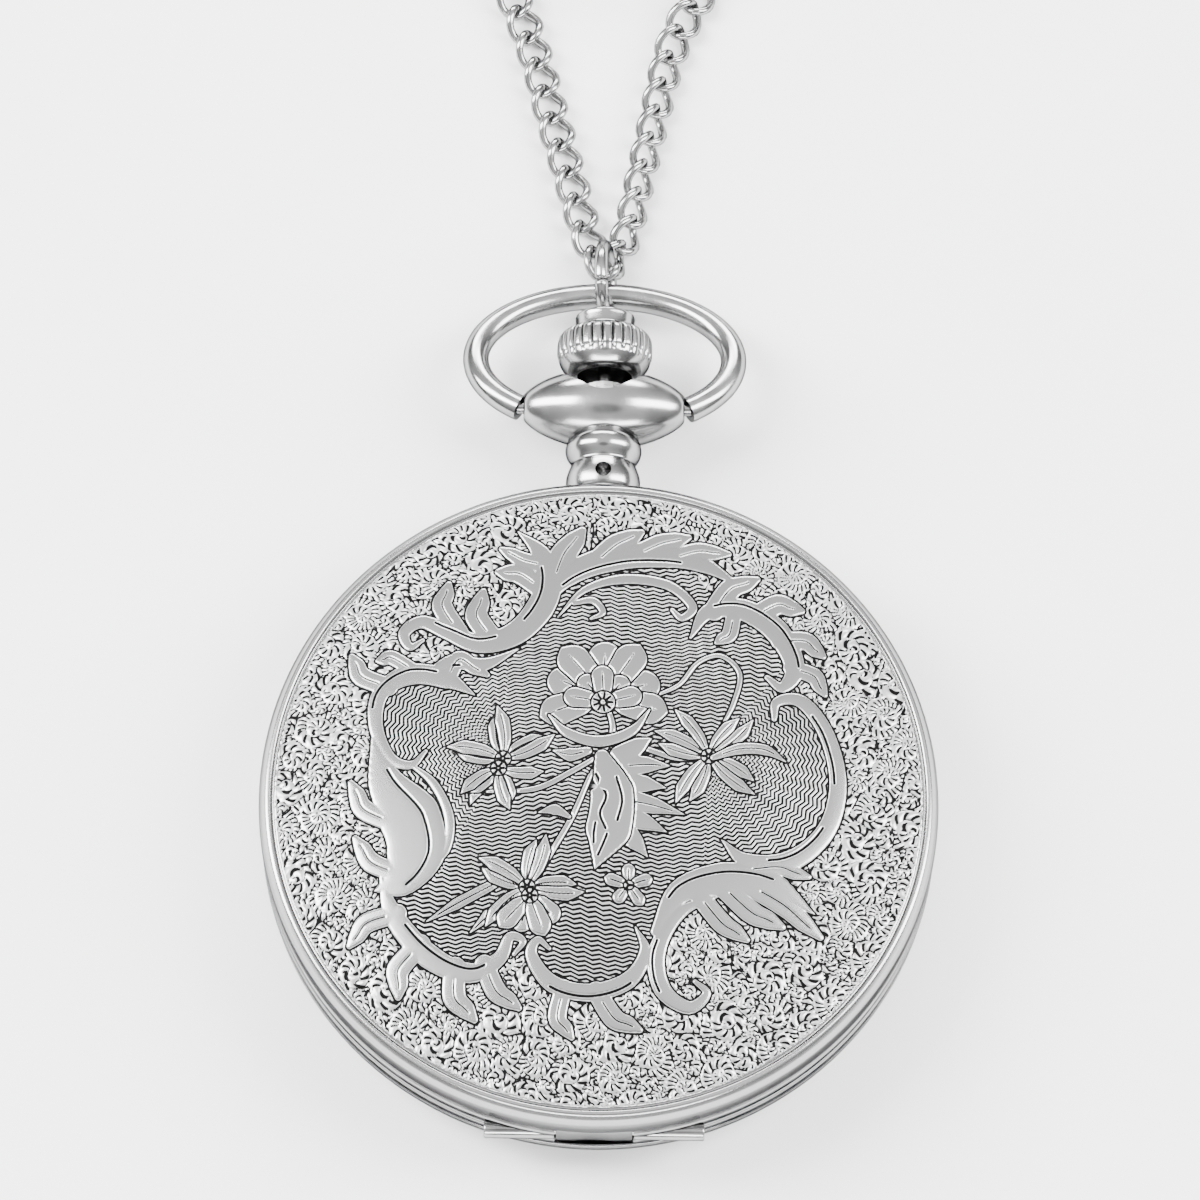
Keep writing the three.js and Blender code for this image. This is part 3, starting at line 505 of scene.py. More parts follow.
class Plate:
    """The engraving so far, at the points x and y."""
    MARGIN = 0.6  # how far from a figure its surroundings still change
    OUTLINE = 0.04  # from a figure's edge out to its cut outline

    def __init__(self, x, y, line, level):
        self.x, self.y, self.line, self.level = x, y, line, level

    def near(self, points, reach):
        line = np.asarray(points, float)
        low, high = line.min(0) - reach - self.MARGIN, line.max(0) + reach + self.MARGIN
        across = (self.x > low[0]) & (self.x < high[0])
        return np.nonzero(across & (self.y > low[1]) & (self.y < high[1]))[0]

    def figures(self, shapes, top=1.0, vein=()):
        """Lays smooth raised figures over what is there, merged into one outline."""
        union = np.full(len(self.x), np.inf)
        marks = np.ones(len(self.x))
        for n, (points, widths) in enumerate(shapes):
            near = self.near(points, max(widths))
            gap, place, half = near_line(self.x[near], self.y[near], points, widths)
            union[near] = np.minimum(union[near], gap)
            if n in vein:
                inside = (gap < -0.1) & (place > 0.12) & (place < 0.8)
                mark = np.where(inside, clear_of((gap + half) * 1.3), 1)
                marks[near] = np.minimum(marks[near], mark)
        edge = union - self.OUTLINE
        inside = edge < 0
        self.line = np.minimum(clear_of(edge), np.where(inside, marks, self.line))
        body = top - 0.22 * np.exp(-np.maximum(-edge, 0) / 0.22)
        sunk = self.level - 0.25 * np.exp(-np.maximum(edge, 0) / 0.12)
        self.level = np.where(inside, body, sunk)

    def stroke(self, points):
        """Cuts one line."""
        near = self.near(points, 0)
        gap, _, _ = near_line(self.x[near], self.y[near], points, [0.03] * len(points))
        self.line[near] = np.minimum(self.line[near], clear_of(np.maximum(gap, 0)))


def petal(centre, angle, inner, outer, width, bend=0.0):
    a = math.radians(angle)
    direction = np.array([math.cos(a), math.sin(a)])
    side = np.array([-direction[1], direction[0]])
    centre = np.array(centre, float)
    length = outer - inner
    points = [centre + direction * (inner + length * t) + side * bend * length * t * t
              for t in (0, 0.35, 0.7, 1)]
    return points, [0.3 * width, 0.85 * width, width, 0.04]


def flower(plate, centre, size, petals, start, sweep, width, bend=0.1, heart=0.5):
    order = sorted(range(petals), key=lambda i: -(i % 2))
    for i in order:
        angle = start + sweep * i / max(1, petals - 1)
        reach = size * (1 - 0.14 * (i % 2))
        shape = petal(centre, angle, 0.35 * heart, reach, width, bend * (-1) ** i)
        plate.figures([shape], vein=(0,))
    c = np.array(centre, float)
    plate.figures([([c, c + (0.02, 0.01), c + (0.04, 0)], [heart, heart, heart])], 0.9)
    for k in range(int(heart * 12)):
        a = 2 * math.pi * k / int(heart * 12)
        way = np.array([math.cos(a), math.sin(a)])
        plate.stroke([c + way * 0.3 * heart, c + way * 0.55 * heart, c + way * 0.8 * heart])


# The scrolls of the frame: points and half-widths along each.
SCROLLS = [
    ([(-12.3, 10.9), (-13.2, 10.4), (-13.6, 11.5), (-12.4, 12.3), (-10.6, 11.5), (-8.4, 10.6), (-6.0, 11.3),
      (-4.3, 13.2), (-3.7, 15.4), (-4.3, 17.6), (-5.9, 19.3)],
     [0.15, 0.3, 0.42, 0.5, 0.6, 0.75, 0.9, 1.0, 0.95, 0.65, 0.05]),
    ([(-4.2, 13.4), (-2.4, 15.8), (0.6, 17.2), (4.0, 17.5), (7.0, 16.9), (9.8, 15.2)],
     [0.3, 0.85, 1.05, 0.95, 0.65, 0.05]),
    ([(-3.0, 12.6), (-1.2, 14.7), (1.5, 15.6), (4.6, 15.2), (6.3, 13.6), (5.6, 12.7), (4.9, 13.3)],
     [0.06, 0.26, 0.4, 0.38, 0.34, 0.28, 0.16]),
    ([(-1.9, 13.7), (-0.6, 13.9), (0.1, 13.0), (-0.7, 12.5)], [0.2, 0.28, 0.24, 0.12]),
    ([(6.2, 11.2), (7.4, 13.2), (9.8, 13.5), (12.2, 11.9), (13.4, 9.3), (12.6, 7.7), (11.5, 8.4)],
     [0.1, 0.6, 0.85, 0.9, 0.7, 0.4, 0.2]),
    ([(12.0, 5.3), (12.2, 6.6), (13.9, 6.7), (15.6, 4.4), (16.4, 0.8), (15.6, -2.6), (13.2, -4.9),
      (10.2, -5.1), (8.4, -3.6)],
     [0.18, 0.36, 0.5, 0.55, 0.6, 0.65, 0.75, 0.6, 0.05]),
    ([(4.0, -10.2), (5.6, -7.4), (8.6, -6.4), (11.8, -6.7), (14.8, -8.6)], [0.35, 0.85, 1.2, 1.05, 0.05]),
    ([(8.2, -7.6), (5.6, -8.9), (4.1, -11.6), (4.5, -14.2), (6.3, -15.4), (7.5, -14.4), (6.7, -13.6)],
     [0.1, 0.45, 0.6, 0.6, 0.45, 0.3, 0.16]),
    ([(2.6, -9.9), (3.3, -11.6), (2.2, -13.6), (-0.4, -14.5), (-3.0, -13.9), (-4.4, -12.0), (-4.0, -10.9),
      (-3.2, -11.5)],
     [0.06, 0.4, 0.6, 0.62, 0.6, 0.42, 0.26, 0.14]),
    ([(-5.6, -11.9), (-5.0, -11.0), (-5.9, -10.7), (-6.6, -12.2), (-8.6, -13.2), (-11.4, -12.0),
      (-13.8, -9.2), (-14.9, -5.9)],
     [0.14, 0.24, 0.34, 0.5, 0.7, 0.85, 0.7, 0.05]),
    ([(-15.6, 3.6), (-14.6, 0.4), (-12.9, -2.2), (-12.4, -4.6), (-13.4, -6.6), (-15.2, -7.4)],
     [0.1, 1.2, 2.1, 2.0, 1.2, 0.05]),
    ([(-13.0, 1.7), (-11.3, 0.2), (-10.2, -2.2), (-10.4, -4.6), (-11.9, -6.2)], [0.14, 0.3, 0.34, 0.3, 0.05]),
    ([(-11.9, 2.6), (-12.9, 1.6), (-14.4, 2.2), (-15.4, 4.6), (-15.1, 7.0), (-13.2, 8.3), (-10.8, 8.0),
      (-8.6, 6.7)],
     [0.14, 0.3, 0.42, 0.5, 0.6, 0.8, 0.75, 0.05]),
    ([(-12.0, 8.2), (-10.2, 9.2), (-8.0, 9.0), (-5.6, 10.2)], [0.3, 0.6, 0.5, 0.05]),
]

# Leaf fingers that break out of the scrolls: root, middle, tip and half-width.
FINGERS = [
    ((-3.4, 15.2), (-2.7, 17.4), (-1.4, 19.4), 0.6), ((-4.2, 14.8), (-5.6, 15.9), (-7.2, 16.1), 0.5),
    ((-3.9, 16.6), (-5.4, 17.0), (-7.0, 17.9), 0.4),
    ((-0.6, 16.7), (0.9, 18.2), (2.7, 19.3), 0.55), ((2.2, 17.4), (4.0, 18.4), (6.0, 19.0), 0.5),
    ((4.6, 17.2), (6.6, 17.9), (8.8, 17.8), 0.45), ((7.8, 13.3), (8.9, 15.0), (10.8, 15.9), 0.5),
    ((10.6, 13.0), (12.2, 14.0), (13.9, 13.6), 0.5), ((12.4, 11.2), (14.1, 11.3), (15.4, 10.2), 0.45),
    ((13.2, 9.2), (14.7, 8.7), (15.5, 7.3), 0.4), ((9.2, 13.2), (8.9, 11.6), (8.0, 10.9), 0.35),
    ((8.2, -6.6), (10.4, -8.6), (12.6, -9.6), 0.5), ((10.2, -6.7), (12.6, -8.0), (15.2, -10.2), 0.5),
    ((6.6, -7.2), (8.4, -9.4), (10.2, -10.6), 0.45), ((9.6, -5.8), (12.2, -5.4), (14.4, -6.0), 0.4),
    ((-7.6, -12.6), (-6.8, -14.4), (-5.2, -15.6), 0.45), ((-9.6, -12.8), (-9.6, -14.8), (-8.2, -16.4), 0.5),
    ((-12.0, -11.2), (-13.4, -12.8), (-13.4, -14.8), 0.5),
    ((-13.6, -9.0), (-15.6, -9.6), (-16.8, -11.2), 0.45),
    ((-13.6, -6.2), (-15.4, -5.4), (-16.6, -3.6), 0.45), ((-14.0, -2.6), (-16.0, -1.6), (-17.0, 0.4), 0.45),
    ((-14.6, 7.4), (-16.4, 8.2), (-17.2, 9.8), 0.45), ((-12.6, 8.4), (-14.4, 9.6), (-15.4, 9.4), 0.35),
    ((-10.6, 7.8), (-9.8, 9.4), (-7.8, 8.2), 0.4), ((-7.4, 10.8), (-8.6, 12.6), (-8.2, 14.6), 0.5),
    ((-9.8, 11.4), (-11.0, 13.4), (-10.6, 15.2), 0.45),
    ((0.0, -14.4), (1.2, -16.2), (3.0, -17.0), 0.45), ((-2.2, -14.2), (-2.6, -16.2), (-1.6, -17.6), 0.4),
]

# The edge of the plain ground inside the frame.
GROUND = [(-5.0, 12.4), (-2.6, 15.0), (1.6, 16.8), (6.0, 16.2), (8.6, 13.4), (12.4, 10.4), (14.2, 7.0),
          (16.2, 2.6), (15.9, -2.0), (13.0, -5.0), (9.0, -6.2), (5.2, -8.4), (3.6, -12.0), (0.8, -14.2),
          (-3.4, -13.4), (-5.6, -12.0), (-9.6, -12.6), (-13.4, -9.2), (-13.2, -5.0), (-12.6, -1.4),
          (-14.4, 2.8), (-14.6, 6.6), (-11.6, 8.2), (-7.8, 9.8)]

FLOWER_TOP = (0.2, 6.7)
FLOWER_LEFT = (-6.6, 2.0)
FLOWER_RIGHT = (7.5, 2.4)
FLOWER_LOW = (-4.8, -7.2)


def inside_outline(x, y, outline):
    """Signed distance to a closed outline, negative inside."""
    line = spline(outline, 5, closed=True)
    best = np.full(len(x), np.inf)
    inside = np.zeros(len(x), bool)
    for a, b in zip(line, np.roll(line, -1, 0)):
        d = b - a
        t = np.clip(((x - a[0]) * d[0] + (y - a[1]) * d[1]) / (d @ d), 0, 1)
        best = np.minimum(best, np.hypot(x - a[0] - t * d[0], y - a[1] - t * d[1]))
        if a[1] != b[1]:
            meets = (b[0] - a[0]) * (y - a[1]) / (b[1] - a[1]) + a[0]
            inside ^= ((a[1] > y) != (b[1] > y)) & (x < meets)
    return np.where(inside, -best, best)


def fan(x, y, centre, ribs, pitch=0.31):
    """Zigzag lines that open out from a point like the ribs of a shell."""
    dx, dy = x - centre[0], y - centre[1]
    radius, angle = np.hypot(dx, dy), np.arctan2(dy, dx)
    turns = angle * ribs / (2 * math.pi)
    return lines(radius / pitch + 0.4 * zigzag(turns), pitch)


FAN_START, FAN_REACH, FAN_RIBS = 88, 9.8, 44  # degrees, millimetres and a count


def ground_pattern(x, y):
    """The machine-turned ground: level zigzag lines, with fans behind the two side flowers."""
    sway = 0.35 * np.sin(x * 0.55 + 0.8 * np.sin(y * 0.35))
    ground = lines((y + sway) / 0.3 + 0.27 * zigzag(x / 1.02 + 0.1 * y), 0.3)
    for flower_at, turned, last in ((FLOWER_LEFT, 0, 243), (FLOWER_RIGHT, 180, 233)):
        dx, dy = x - flower_at[0], y - flower_at[1]
        angle = (np.degrees(np.arctan2(dy, dx)) + turned) % 360
        in_fan = (angle > FAN_START) & (angle < last) & (np.hypot(dx, dy) < FAN_REACH)
        ground = np.where(in_fan, fan(x, y, flower_at, FAN_RIBS), ground)
    return ground


def curl_centres(small, large, outer, seed):
    """Round places of mixed sizes, scattered so that they only just overlap."""
    rng = np.random.default_rng(seed)
    kept = np.zeros((0, 3))
    for trial in range(16000):
        x, y = rng.uniform(-outer, outer, 2)
        size = large - (large - small) * min(1, trial / 2500) * rng.uniform(0.55, 1)
        if math.hypot(x, y) > outer:
            continue
        apart = np.hypot(kept[:, 0] - x, kept[:, 1] - y)
        if (apart > 0.48 * (kept[:, 2] + size)).all():
            kept = np.vstack([kept, (x, y, size)])
    return kept


def curls(x, y, small, large, outer, seed):
    """A dense carpet of ribbed curls, like shells, each filling the space round its own middle."""
    centres = curl_centres(small, large, outer, seed)
    rng = np.random.default_rng(seed + 1)
    turn = rng.uniform(0, 1, len(centres))
    way = rng.choice([-1.0, 1.0], len(centres))
    line, level = np.ones(len(x)), np.ones(len(x))
    tile = 3.0
    column, row = np.floor(x / tile), np.floor(y / tile)
    for cx in np.unique(column):
        for cy in np.unique(row[column == cx]):
            here = np.nonzero((column == cx) & (row == cy))[0]
            middle = np.array([cx + 0.5, cy + 0.5]) * tile
            near = np.nonzero(np.abs(centres[:, :2] - middle).max(1) < tile / 2 + 1.7 * large)[0]
            dx = x[here, None] - centres[None, near, 0]
            dy = y[here, None] - centres[None, near, 1]
            d = np.hypot(dx, dy) / centres[None, near, 2]
            order = np.argpartition(d, 1, axis=1)[:, :2]
            two = np.take_along_axis(d, order, 1)
            first = np.argmin(two, 1)
            rows = np.arange(len(here))
            best = near[order[rows, first]]
            size = centres[best, 2]
            r = two[rows, first] * size
            edge = (two[rows, 1 - first] - two[rows, first]) * size * 0.5
            angle = np.arctan2(y[here] - centres[best, 1], x[here] - centres[best, 0])
            angle = way[best] * (angle / (2 * math.pi)) + turn[best]
            step = 0.25 * size + 0.2
            coil = r / step - angle
            shell = np.floor(coil)
            across = coil - shell
            count = np.maximum(3, np.round(2 * math.pi * (shell + 0.8) * step / 0.4))
            rib = lines(angle * count + 0.9 * across, 0.4)
            rib = np.where((across > 0.05) & (across < 0.78), rib, 1)
            broken = np.abs(np.sin(angle * count * 0.9 + 2.1 * shell)) > 0.55
            spiral = np.where(broken, 1, clear_of(np.minimum(across, 1 - across) * step * 1.3))
            outline = np.where(np.sin(angle * 9) > 0.2, clear_of(edge * 1.4), 1)
            line[here] = np.minimum(np.minimum(rib, spiral), outline)
            level[here] = 0.55 + 0.4 * np.sin(math.pi * across) * smooth(0, 0.25, edge)
    return line, level


def bouquet(plate):
    stem = [0.16, 0.2, 0.2, 0.12]
    plate.figures([
        ([(0.4, 6.2), (0.9, 4.2), (0.2, 2.4), (-0.6, 0.8)], stem),
        ([(0.2, 2.4), (-2.0, 1.0), (-4.4, -0.2), (-7.6, -0.4)], stem),
        ([(0.6, 3.2), (2.6, 3.0), (5.2, 2.2), (7.2, 2.2)], stem),
        ([(-0.6, 0.8), (-1.8, -2.2), (-3.2, -4.8), (-4.2, -6.8)], stem),
        ([(3.4, 6.6), (5.4, 7.6), (6.7, 9.3), (8.3, 9.9), (9.6, 8.6), (9.2, 6.4), (8.4, 4.6)],
         [0.12, 0.16, 0.17, 0.18, 0.18, 0.17, 0.12])])
    for leaf in (([(-11.6, -9.6), (-9.6, -8.4), (-7.4, -7.2), (-5.6, -6.2)], [0.05, 0.4, 0.36, 0.1]),
                 ([(-8.6, -10.4), (-7.4, -9.2), (-6.4, -8.2)], [0.05, 0.42, 0.1])):
        plate.figures([leaf], vein=(0,))
    jagged = [([(1.6, y0), ((1.6 + x1) / 2, (y0 + y1) / 2 + 0.1), (x1, y1)], [0.9, 0.6, 0.03])
              for y0, x1, y1 in ((2.2, 3.6, 3.6), (1.5, 4.9, 1.6), (0.3, 4.6, 0.0), (-0.9, 5.9, -1.9),
                                 (-2.0, 4.7, -3.2), (-3.0, 3.4, -5.0))]
    plate.figures(jagged, vein=(1, 3))
    plate.figures([([(0.2, 2.2), (0.9, -0.4), (0.7, -3.0), (-0.2, -5.9)], [0.5, 1.45, 1.55, 0.05])])
    for points in ([(-0.2, 0.9), (0.5, -0.6), (0.1, -1.9), (0.5, -3.0)],
                   [(1.2, 0.7), (1.6, -0.9), (1.3, -2.4)],
                   [(0.6, -3.4), (0.3, -4.2), (0.0, -4.9)], [(-0.2, -2.6), (-0.3, -3.3), (-0.3, -4.0)]):
        plate.stroke(points)
    plate.figures([([(-0.8, 2.6), (-2.0, 2.3), (-3.2, 2.6)], [0.3, 0.5, 0.05])], vein=(0,))
    plate.figures([([(-2.0, -2.2), (-3.0, -1.7), (-4.1, -1.9)], [0.15, 0.4, 0.05])])
    flower(plate, FLOWER_TOP, 4.6, 7, -18, 216, 1.15, bend=0.06, heart=1.0)
    flower(plate, (FLOWER_TOP[0], FLOWER_TOP[1] - 0.5), 2.7, 5, 12, 156, 0.75, bend=0.05, heart=0.8)
    plate.figures([([(-3.5, 5.2), (-2.2, 3.9), (0.0, 3.3), (2.2, 4.1), (3.4, 5.7)],
                    [0.08, 0.36, 0.42, 0.36, 0.08])])
    flower(plate, FLOWER_LEFT, 3.8, 7, 10, 210, 0.5, bend=0.32)
    flower(plate, (FLOWER_LEFT[0] - 0.3, FLOWER_LEFT[1] - 0.7), 3.0, 5, 200, 140, 0.46, bend=0.3)
    flower(plate, FLOWER_RIGHT, 4.0, 9, 140, 330, 0.46, bend=0.28)
    plate.figures([([(7.8, 2.3), (9.6, 3.0), (11.4, 3.0), (12.8, 2.2)], [0.2, 0.42, 0.4, 0.05])], vein=(0,))
    flower(plate, FLOWER_LOW, 3.8, 7, -20, 230, 0.5, bend=0.28)
    flower(plate, (FLOWER_LOW[0] + 0.2, FLOWER_LOW[1] - 0.6), 3.0, 4, 225, 95, 0.75, bend=0.05)
    flower(plate, (2.1, -7.0), 1.7, 5, 18, 288, 0.45, bend=0.0, heart=0.3)


LANDS_PAINTED_LIGHT = 0.85  # how far the close patterns' line value stands below the smooth figures'; the material paints those lands paler, as painted light, and rougher than the smooth figures' full polish


def front_engraving(x, y):
    edge = inside_outline(x, y, GROUND)
    carpet, bulge = curls(x, y, 0.95, 2.3, ENGRAVED_R, 11)
    # The close patterns' lands are scaled below 1 here, so the material paints them paler than the smooth
    # figures, as painted light.
    line = LANDS_PAINTED_LIGHT * np.where(edge < 0, ground_pattern(x, y), carpet)
    plate = Plate(x, y, line, np.where(edge < 0, 0.8, bulge))
    bouquet(plate)
    shapes = list(SCROLLS)
    for root, middle, tip, width in FINGERS:
        last = tuple(0.45 * a + 0.55 * b for a, b in zip(middle, tip))
        shapes.append(([root, middle, last, tip], [1.5 * width, 1.6 * width, 1.3 * width, 0.5 * width]))
    plate.figures(shapes, vein=range(len(SCROLLS), len(shapes)))
    for n, (points, widths) in enumerate(SCROLLS):
        line = spline(points, 4)
        half = np.interp(np.linspace(0, 1, len(line)), np.linspace(0, 1, len(widths)), widths)
        way = unit(np.gradient(line, axis=0))
        side = np.stack([-way[:, 1], way[:, 0]], -1) * (-1) ** n
        contour = line + 0.42 * half[:, None] * side
        broad = np.nonzero(half > 0.5)[0]
        for run in np.array_split(broad, max(1, len(broad) // 9)):
            if len(run) > 4:
                plate.stroke(contour[run[1:-2]])
    return plate.line, plate.level


ROSETTE_R = 10


def back_engraving(x, y):
    """Plainer: the same curls round a turned rosette with eight leaves."""
    radius = np.hypot(x, y)
    turns = np.arctan2(y, x) / (2 * math.pi) * 48
    rosette = lines(radius / 0.34 + 0.45 * zigzag(turns), 0.34)
    carpet, bulge = curls(x, y, 1.1, 2.5, 17.2, 23)
    inside = radius < ROSETTE_R
    plate = Plate(x, y, np.where(inside, rosette, carpet), np.where(inside, 0.72, bulge))
    for i in range(8):
        plate.figures([petal((0, 0), 45 * i + 22.5, 2.2, 6.4, 0.8)], vein=(0,))
        plate.figures([petal((0, 0), 45 * i, 2.0, 8.6, 1.0)], vein=(0,))
    circle = [(ROSETTE_R * math.cos(a), ROSETTE_R * math.sin(a)) for a in np.linspace(0, 2 * math.pi, 25)]
    plate.figures([(circle, [0.35] * len(circle))])
    plate.figures([([(0, 0), (0.02, 0.01), (0.04, 0)], [1.5] * 3)], 0.9)
    return plate.line, plate.level


# ------------------------------------------------------------------ lid and back
def stitch(start_a, count_a, start_b, count_b):
    """Faces between two rings of points; the counts are equal, or one is twice the other."""
    i = np.arange(min(count_a, count_b))
    if count_a == count_b:
        j = (i + 1) % count_a
        return [np.stack([start_a + i, start_b + i, start_b + j, start_a + j], -1)]
    if count_b == 2 * count_a:
        j = (i + 1) % count_a
        left, middle, right = start_b + 2 * i, start_b + 2 * i + 1, start_b + (2 * i + 2) % count_b
        near, far = start_a + i, start_a + j
        return [np.stack([near, left, middle], -1), np.stack([near, middle, far], -1),
                np.stack([far, middle, right], -1)]
    j = (i + 1) % count_b
    left, middle, right = start_a + 2 * i, start_a + 2 * i + 1, start_a + (2 * i + 2) % count_a
    near, far = start_b + i, start_b + j
    return [np.stack([left, near, middle], -1), np.stack([middle, near, far], -1),
            np.stack([middle, far, right], -1)]


FULL_FROM = 11.2  # rings bigger than this have the full number of points
POLE = 0.6  # radius of the smallest ring
PLAIN_STEP = 0.8  # between the rings of the plain insides


def ring_count(radius):
    """More points round the bigger rings, so that they stay near 0.05 to 0.09 mm apart."""
    for halvings in range(4):
        if radius > FULL_FROM / 2 ** halvings:
            return FULL_RING // 2 ** halvings
    return FULL_RING // 16


def relief_disc(name, rings, engraving, sink):
    """A closed disc from rings of (radius, height, count, engraved), marched from one pole to the other.
    Engraved rings sink by the relief along Z, downward for sink -1 and upward for sink 1."""
    points, faces, depth = [], [], []
    counts = [c for _, _, c, _ in rings]
    starts = 1 + np.concatenate([[0], np.cumsum(counts)])
    engraved = [k for k, ring in enumerate(rings) if ring[3]]
    for radius, height, count, _ in rings:
        a = np.arange(count) * 2 * math.pi / count
        points.append(np.stack([radius * np.cos(a), radius * np.sin(a), np.full(count, height)], -1))
        depth.append(np.ones(count))
    cut_points = np.concatenate([points[k][:, :2] for k in engraved])
    line, level = engraving(cut_points[:, 0], cut_points[:, 1])
    rim = np.concatenate([np.full(counts[k], rings[k][0]) for k in engraved])
    fade = smooth(0, 0.2, rim.max() - rim)
    drop = (RELIEF * (1 - level) + LINE_DEPTH * (1 - smooth(0, 1, line))) * fade
    line = 1 - (1 - line) * fade
    at = 0
    for k in engraved:
        points[k][:, 2] += sink * drop[at:at + counts[k]]
        depth[k] = line[at:at + counts[k]]
        at += counts[k]
    for k in range(len(rings) - 1):
        faces += stitch(starts[k], counts[k], starts[k + 1], counts[k + 1])
    first = np.arange(counts[0])
    last = np.arange(counts[-1])
    pole = starts[-1]
    start_level, end_level = rings[0][1], rings[-1][1]
    faces.append(np.stack([0 * first, 1 + first, 1 + (first + 1) % counts[0]], -1))
    faces.append(np.stack([pole + 0 * last, starts[-2] + (last + 1) % counts[-1], starts[-2] + last], -1))
    poles = [(0, 0, points[0][:, 2].mean() if rings[0][3] else start_level)], \
            [(0, 0, points[-1][:, 2].mean() if rings[-1][3] else end_level)]
    every = np.concatenate([poles[0], *points, poles[1]])
    obj = new_mesh(name, every, [np.concatenate([f for f in faces if f.shape[1] == 3]),
                                 np.concatenate([f for f in faces if f.shape[1] == 4])])
    # line also drives the material's painted shade: near-black in the cut lines.
    layer = obj.data.attributes.new("line", "FLOAT", "POINT")
    layer.data.foreach_set("value", np.concatenate([[1.0], *depth, [1.0]]).astype(np.float32))
    return obj


def plain_rings(profile, radius=0.2):
    """Rings for the smooth part of a disc: a rounded outline, in points of (radius, height)."""
    line = rounded(profile, radius, 5)
    return [(r, z, FULL_RING // 2 if r > FULL_FROM else ring_count(r), False) for r, z in line]


def fill_rings(outer, inner, step, height, engraved):
    """Rings a fixed step apart, outward if inner is given first."""
    count = int(abs(outer - inner) / step)
    return [(r, height(r), ring_count(r), engraved) for r in np.linspace(outer, inner, count + 1)]


DOME = 0.00385  # fall of the lid's dome, per millimetre squared
DOME_INSIDE = 0.0042
LID_THICK = 0.7
KNUCKLE_R = 0.6  # the hinge's barrels
KNUCKLE_HALF, KNUCKLE_ROOM = 2.6, 2.7  # half of the lid's barrel, and of the room for it
KNUCKLE_END = 7.5  # from the middle to the end of the band's barrels
PIN_BORE = 0.34
NOTCH_R = 1.08  # room round the lid's barrel
WEB_Y = (-23.25, -22.5)  # the web that joins the barrel to the lid


def lid_height(r):
    return LID_Z - DOME * r * r


def lid_inside(r):
    return LID_Z - LID_THICK - DOME_INSIDE * r * r


def make_lid():
    edge = lid_height(ENGRAVED_R)
    rim = [(ENGRAVED_R + 0.05, edge - 0.12), (22.42, edge - 0.16), (22.56, edge + 0.1), (22.85, edge + 0.06),
           (23.15, edge - 0.3), (23.36, edge - 0.75), (CASE_R, LID_Z - 3.2), (CASE_R, 7.6), (23.1, 7.25),
           (22.6, 7.25), (22.4, 7.6), (22.3, 8.4), (21.7, 9.1)]
    rings = (fill_rings(POLE, ENGRAVED_R, CELL, lid_height, True)
             + plain_rings(rim, 0.12)
             + fill_rings(21.2, POLE, PLAIN_STEP, lid_inside, False))
    lid = relief_disc("front_lid_engraved", rings, front_engraving, -1)
    finish_piece(lid, "lid", "plated_metal", ENGRAVED, "front_lid")
    half = KNUCKLE_HALF
    barrel = rounded([(PIN_BORE, -half), (KNUCKLE_R, -half), (KNUCKLE_R, half), (PIN_BORE, half)], 0.1)
    knuckle = lathe("lid_knuckle", barrel, 48, "x", (0, HINGE_Y, HINGE_Z))
    web = rounded_box("web", (-half, half), WEB_Y, (HINGE_Z - 0.5, 8.0), 0.12)
    cut(knuckle, web, "UNION")
    finish_piece(knuckle, "lid", "plated_metal", SILVER)


def make_back():
    flat = 17.2  # radius of the flat that the watch lies on
    side = spline([(22.2, 4.15), (22.9, 4.2)], 2).tolist()
    curve = spline([(CASE_R, 4.1), (CASE_R - 0.04, 3.4), (23.0, 2.4), (22.2, 1.35), (20.6, 0.5), (19.0, 0.12),
                    (17.7, 0.02)], 8)
    inside = [(20.9, 1.6), (21.6, 2.3), (22.0, 3.2)]
    count = FULL_RING // 2
    plain = [*inside, *side, *curve, (flat + 0.12, 0.0)]
    rings = (fill_rings(POLE, 18.8, PLAIN_STEP, lambda r: 0.9, False)
             + [(r, z, count, False) for r, z in plain]
             + fill_rings(flat, POLE, CELL * 1.3, lambda r: 0.0, True))
    back = relief_disc("back_cover_engraved", rings, back_engraving, 1)
    finish_piece(back, "case", "plated_metal", ENGRAVED, "back_cover")


def rounded_box(name, x, y, z, radius, segments=3):
    corners = [(a, b, c) for a in x for b in y for c in z]
    faces = [(0, 1, 3, 2), (4, 6, 7, 5), (0, 4, 5, 1), (2, 3, 7, 6), (0, 2, 6, 4), (1, 5, 7, 3)]
    obj = new_mesh(name, corners, [np.array(faces)])

    def round_edges(work):
        bmesh.ops.bevel(work, geom=list(work.edges), offset=radius * MM, segments=segments, profile=0.5,
                        affect="EDGES")

    edit_mesh(obj, face_outward, round_edges)
    sharpen(obj)
    return obj


# ------------------------------------------------------------------ band, pendant, crown, bow
def rod(name, radius, low, high, axis, at, segments=48):
    return lathe(name, [(0, low), (radius, low), (radius, high), (0, high)], segments, axis, at, False)


def soft_rod(name, radius, ends, corner, at, segments=48):
    """A bar along X with its ends rounded over."""
    low, high = sorted(ends)
    outline = rounded([(0, low), (radius, low), (radius, high), (0, high)], corner)
    return lathe(name, outline, segments, "x", at, False)


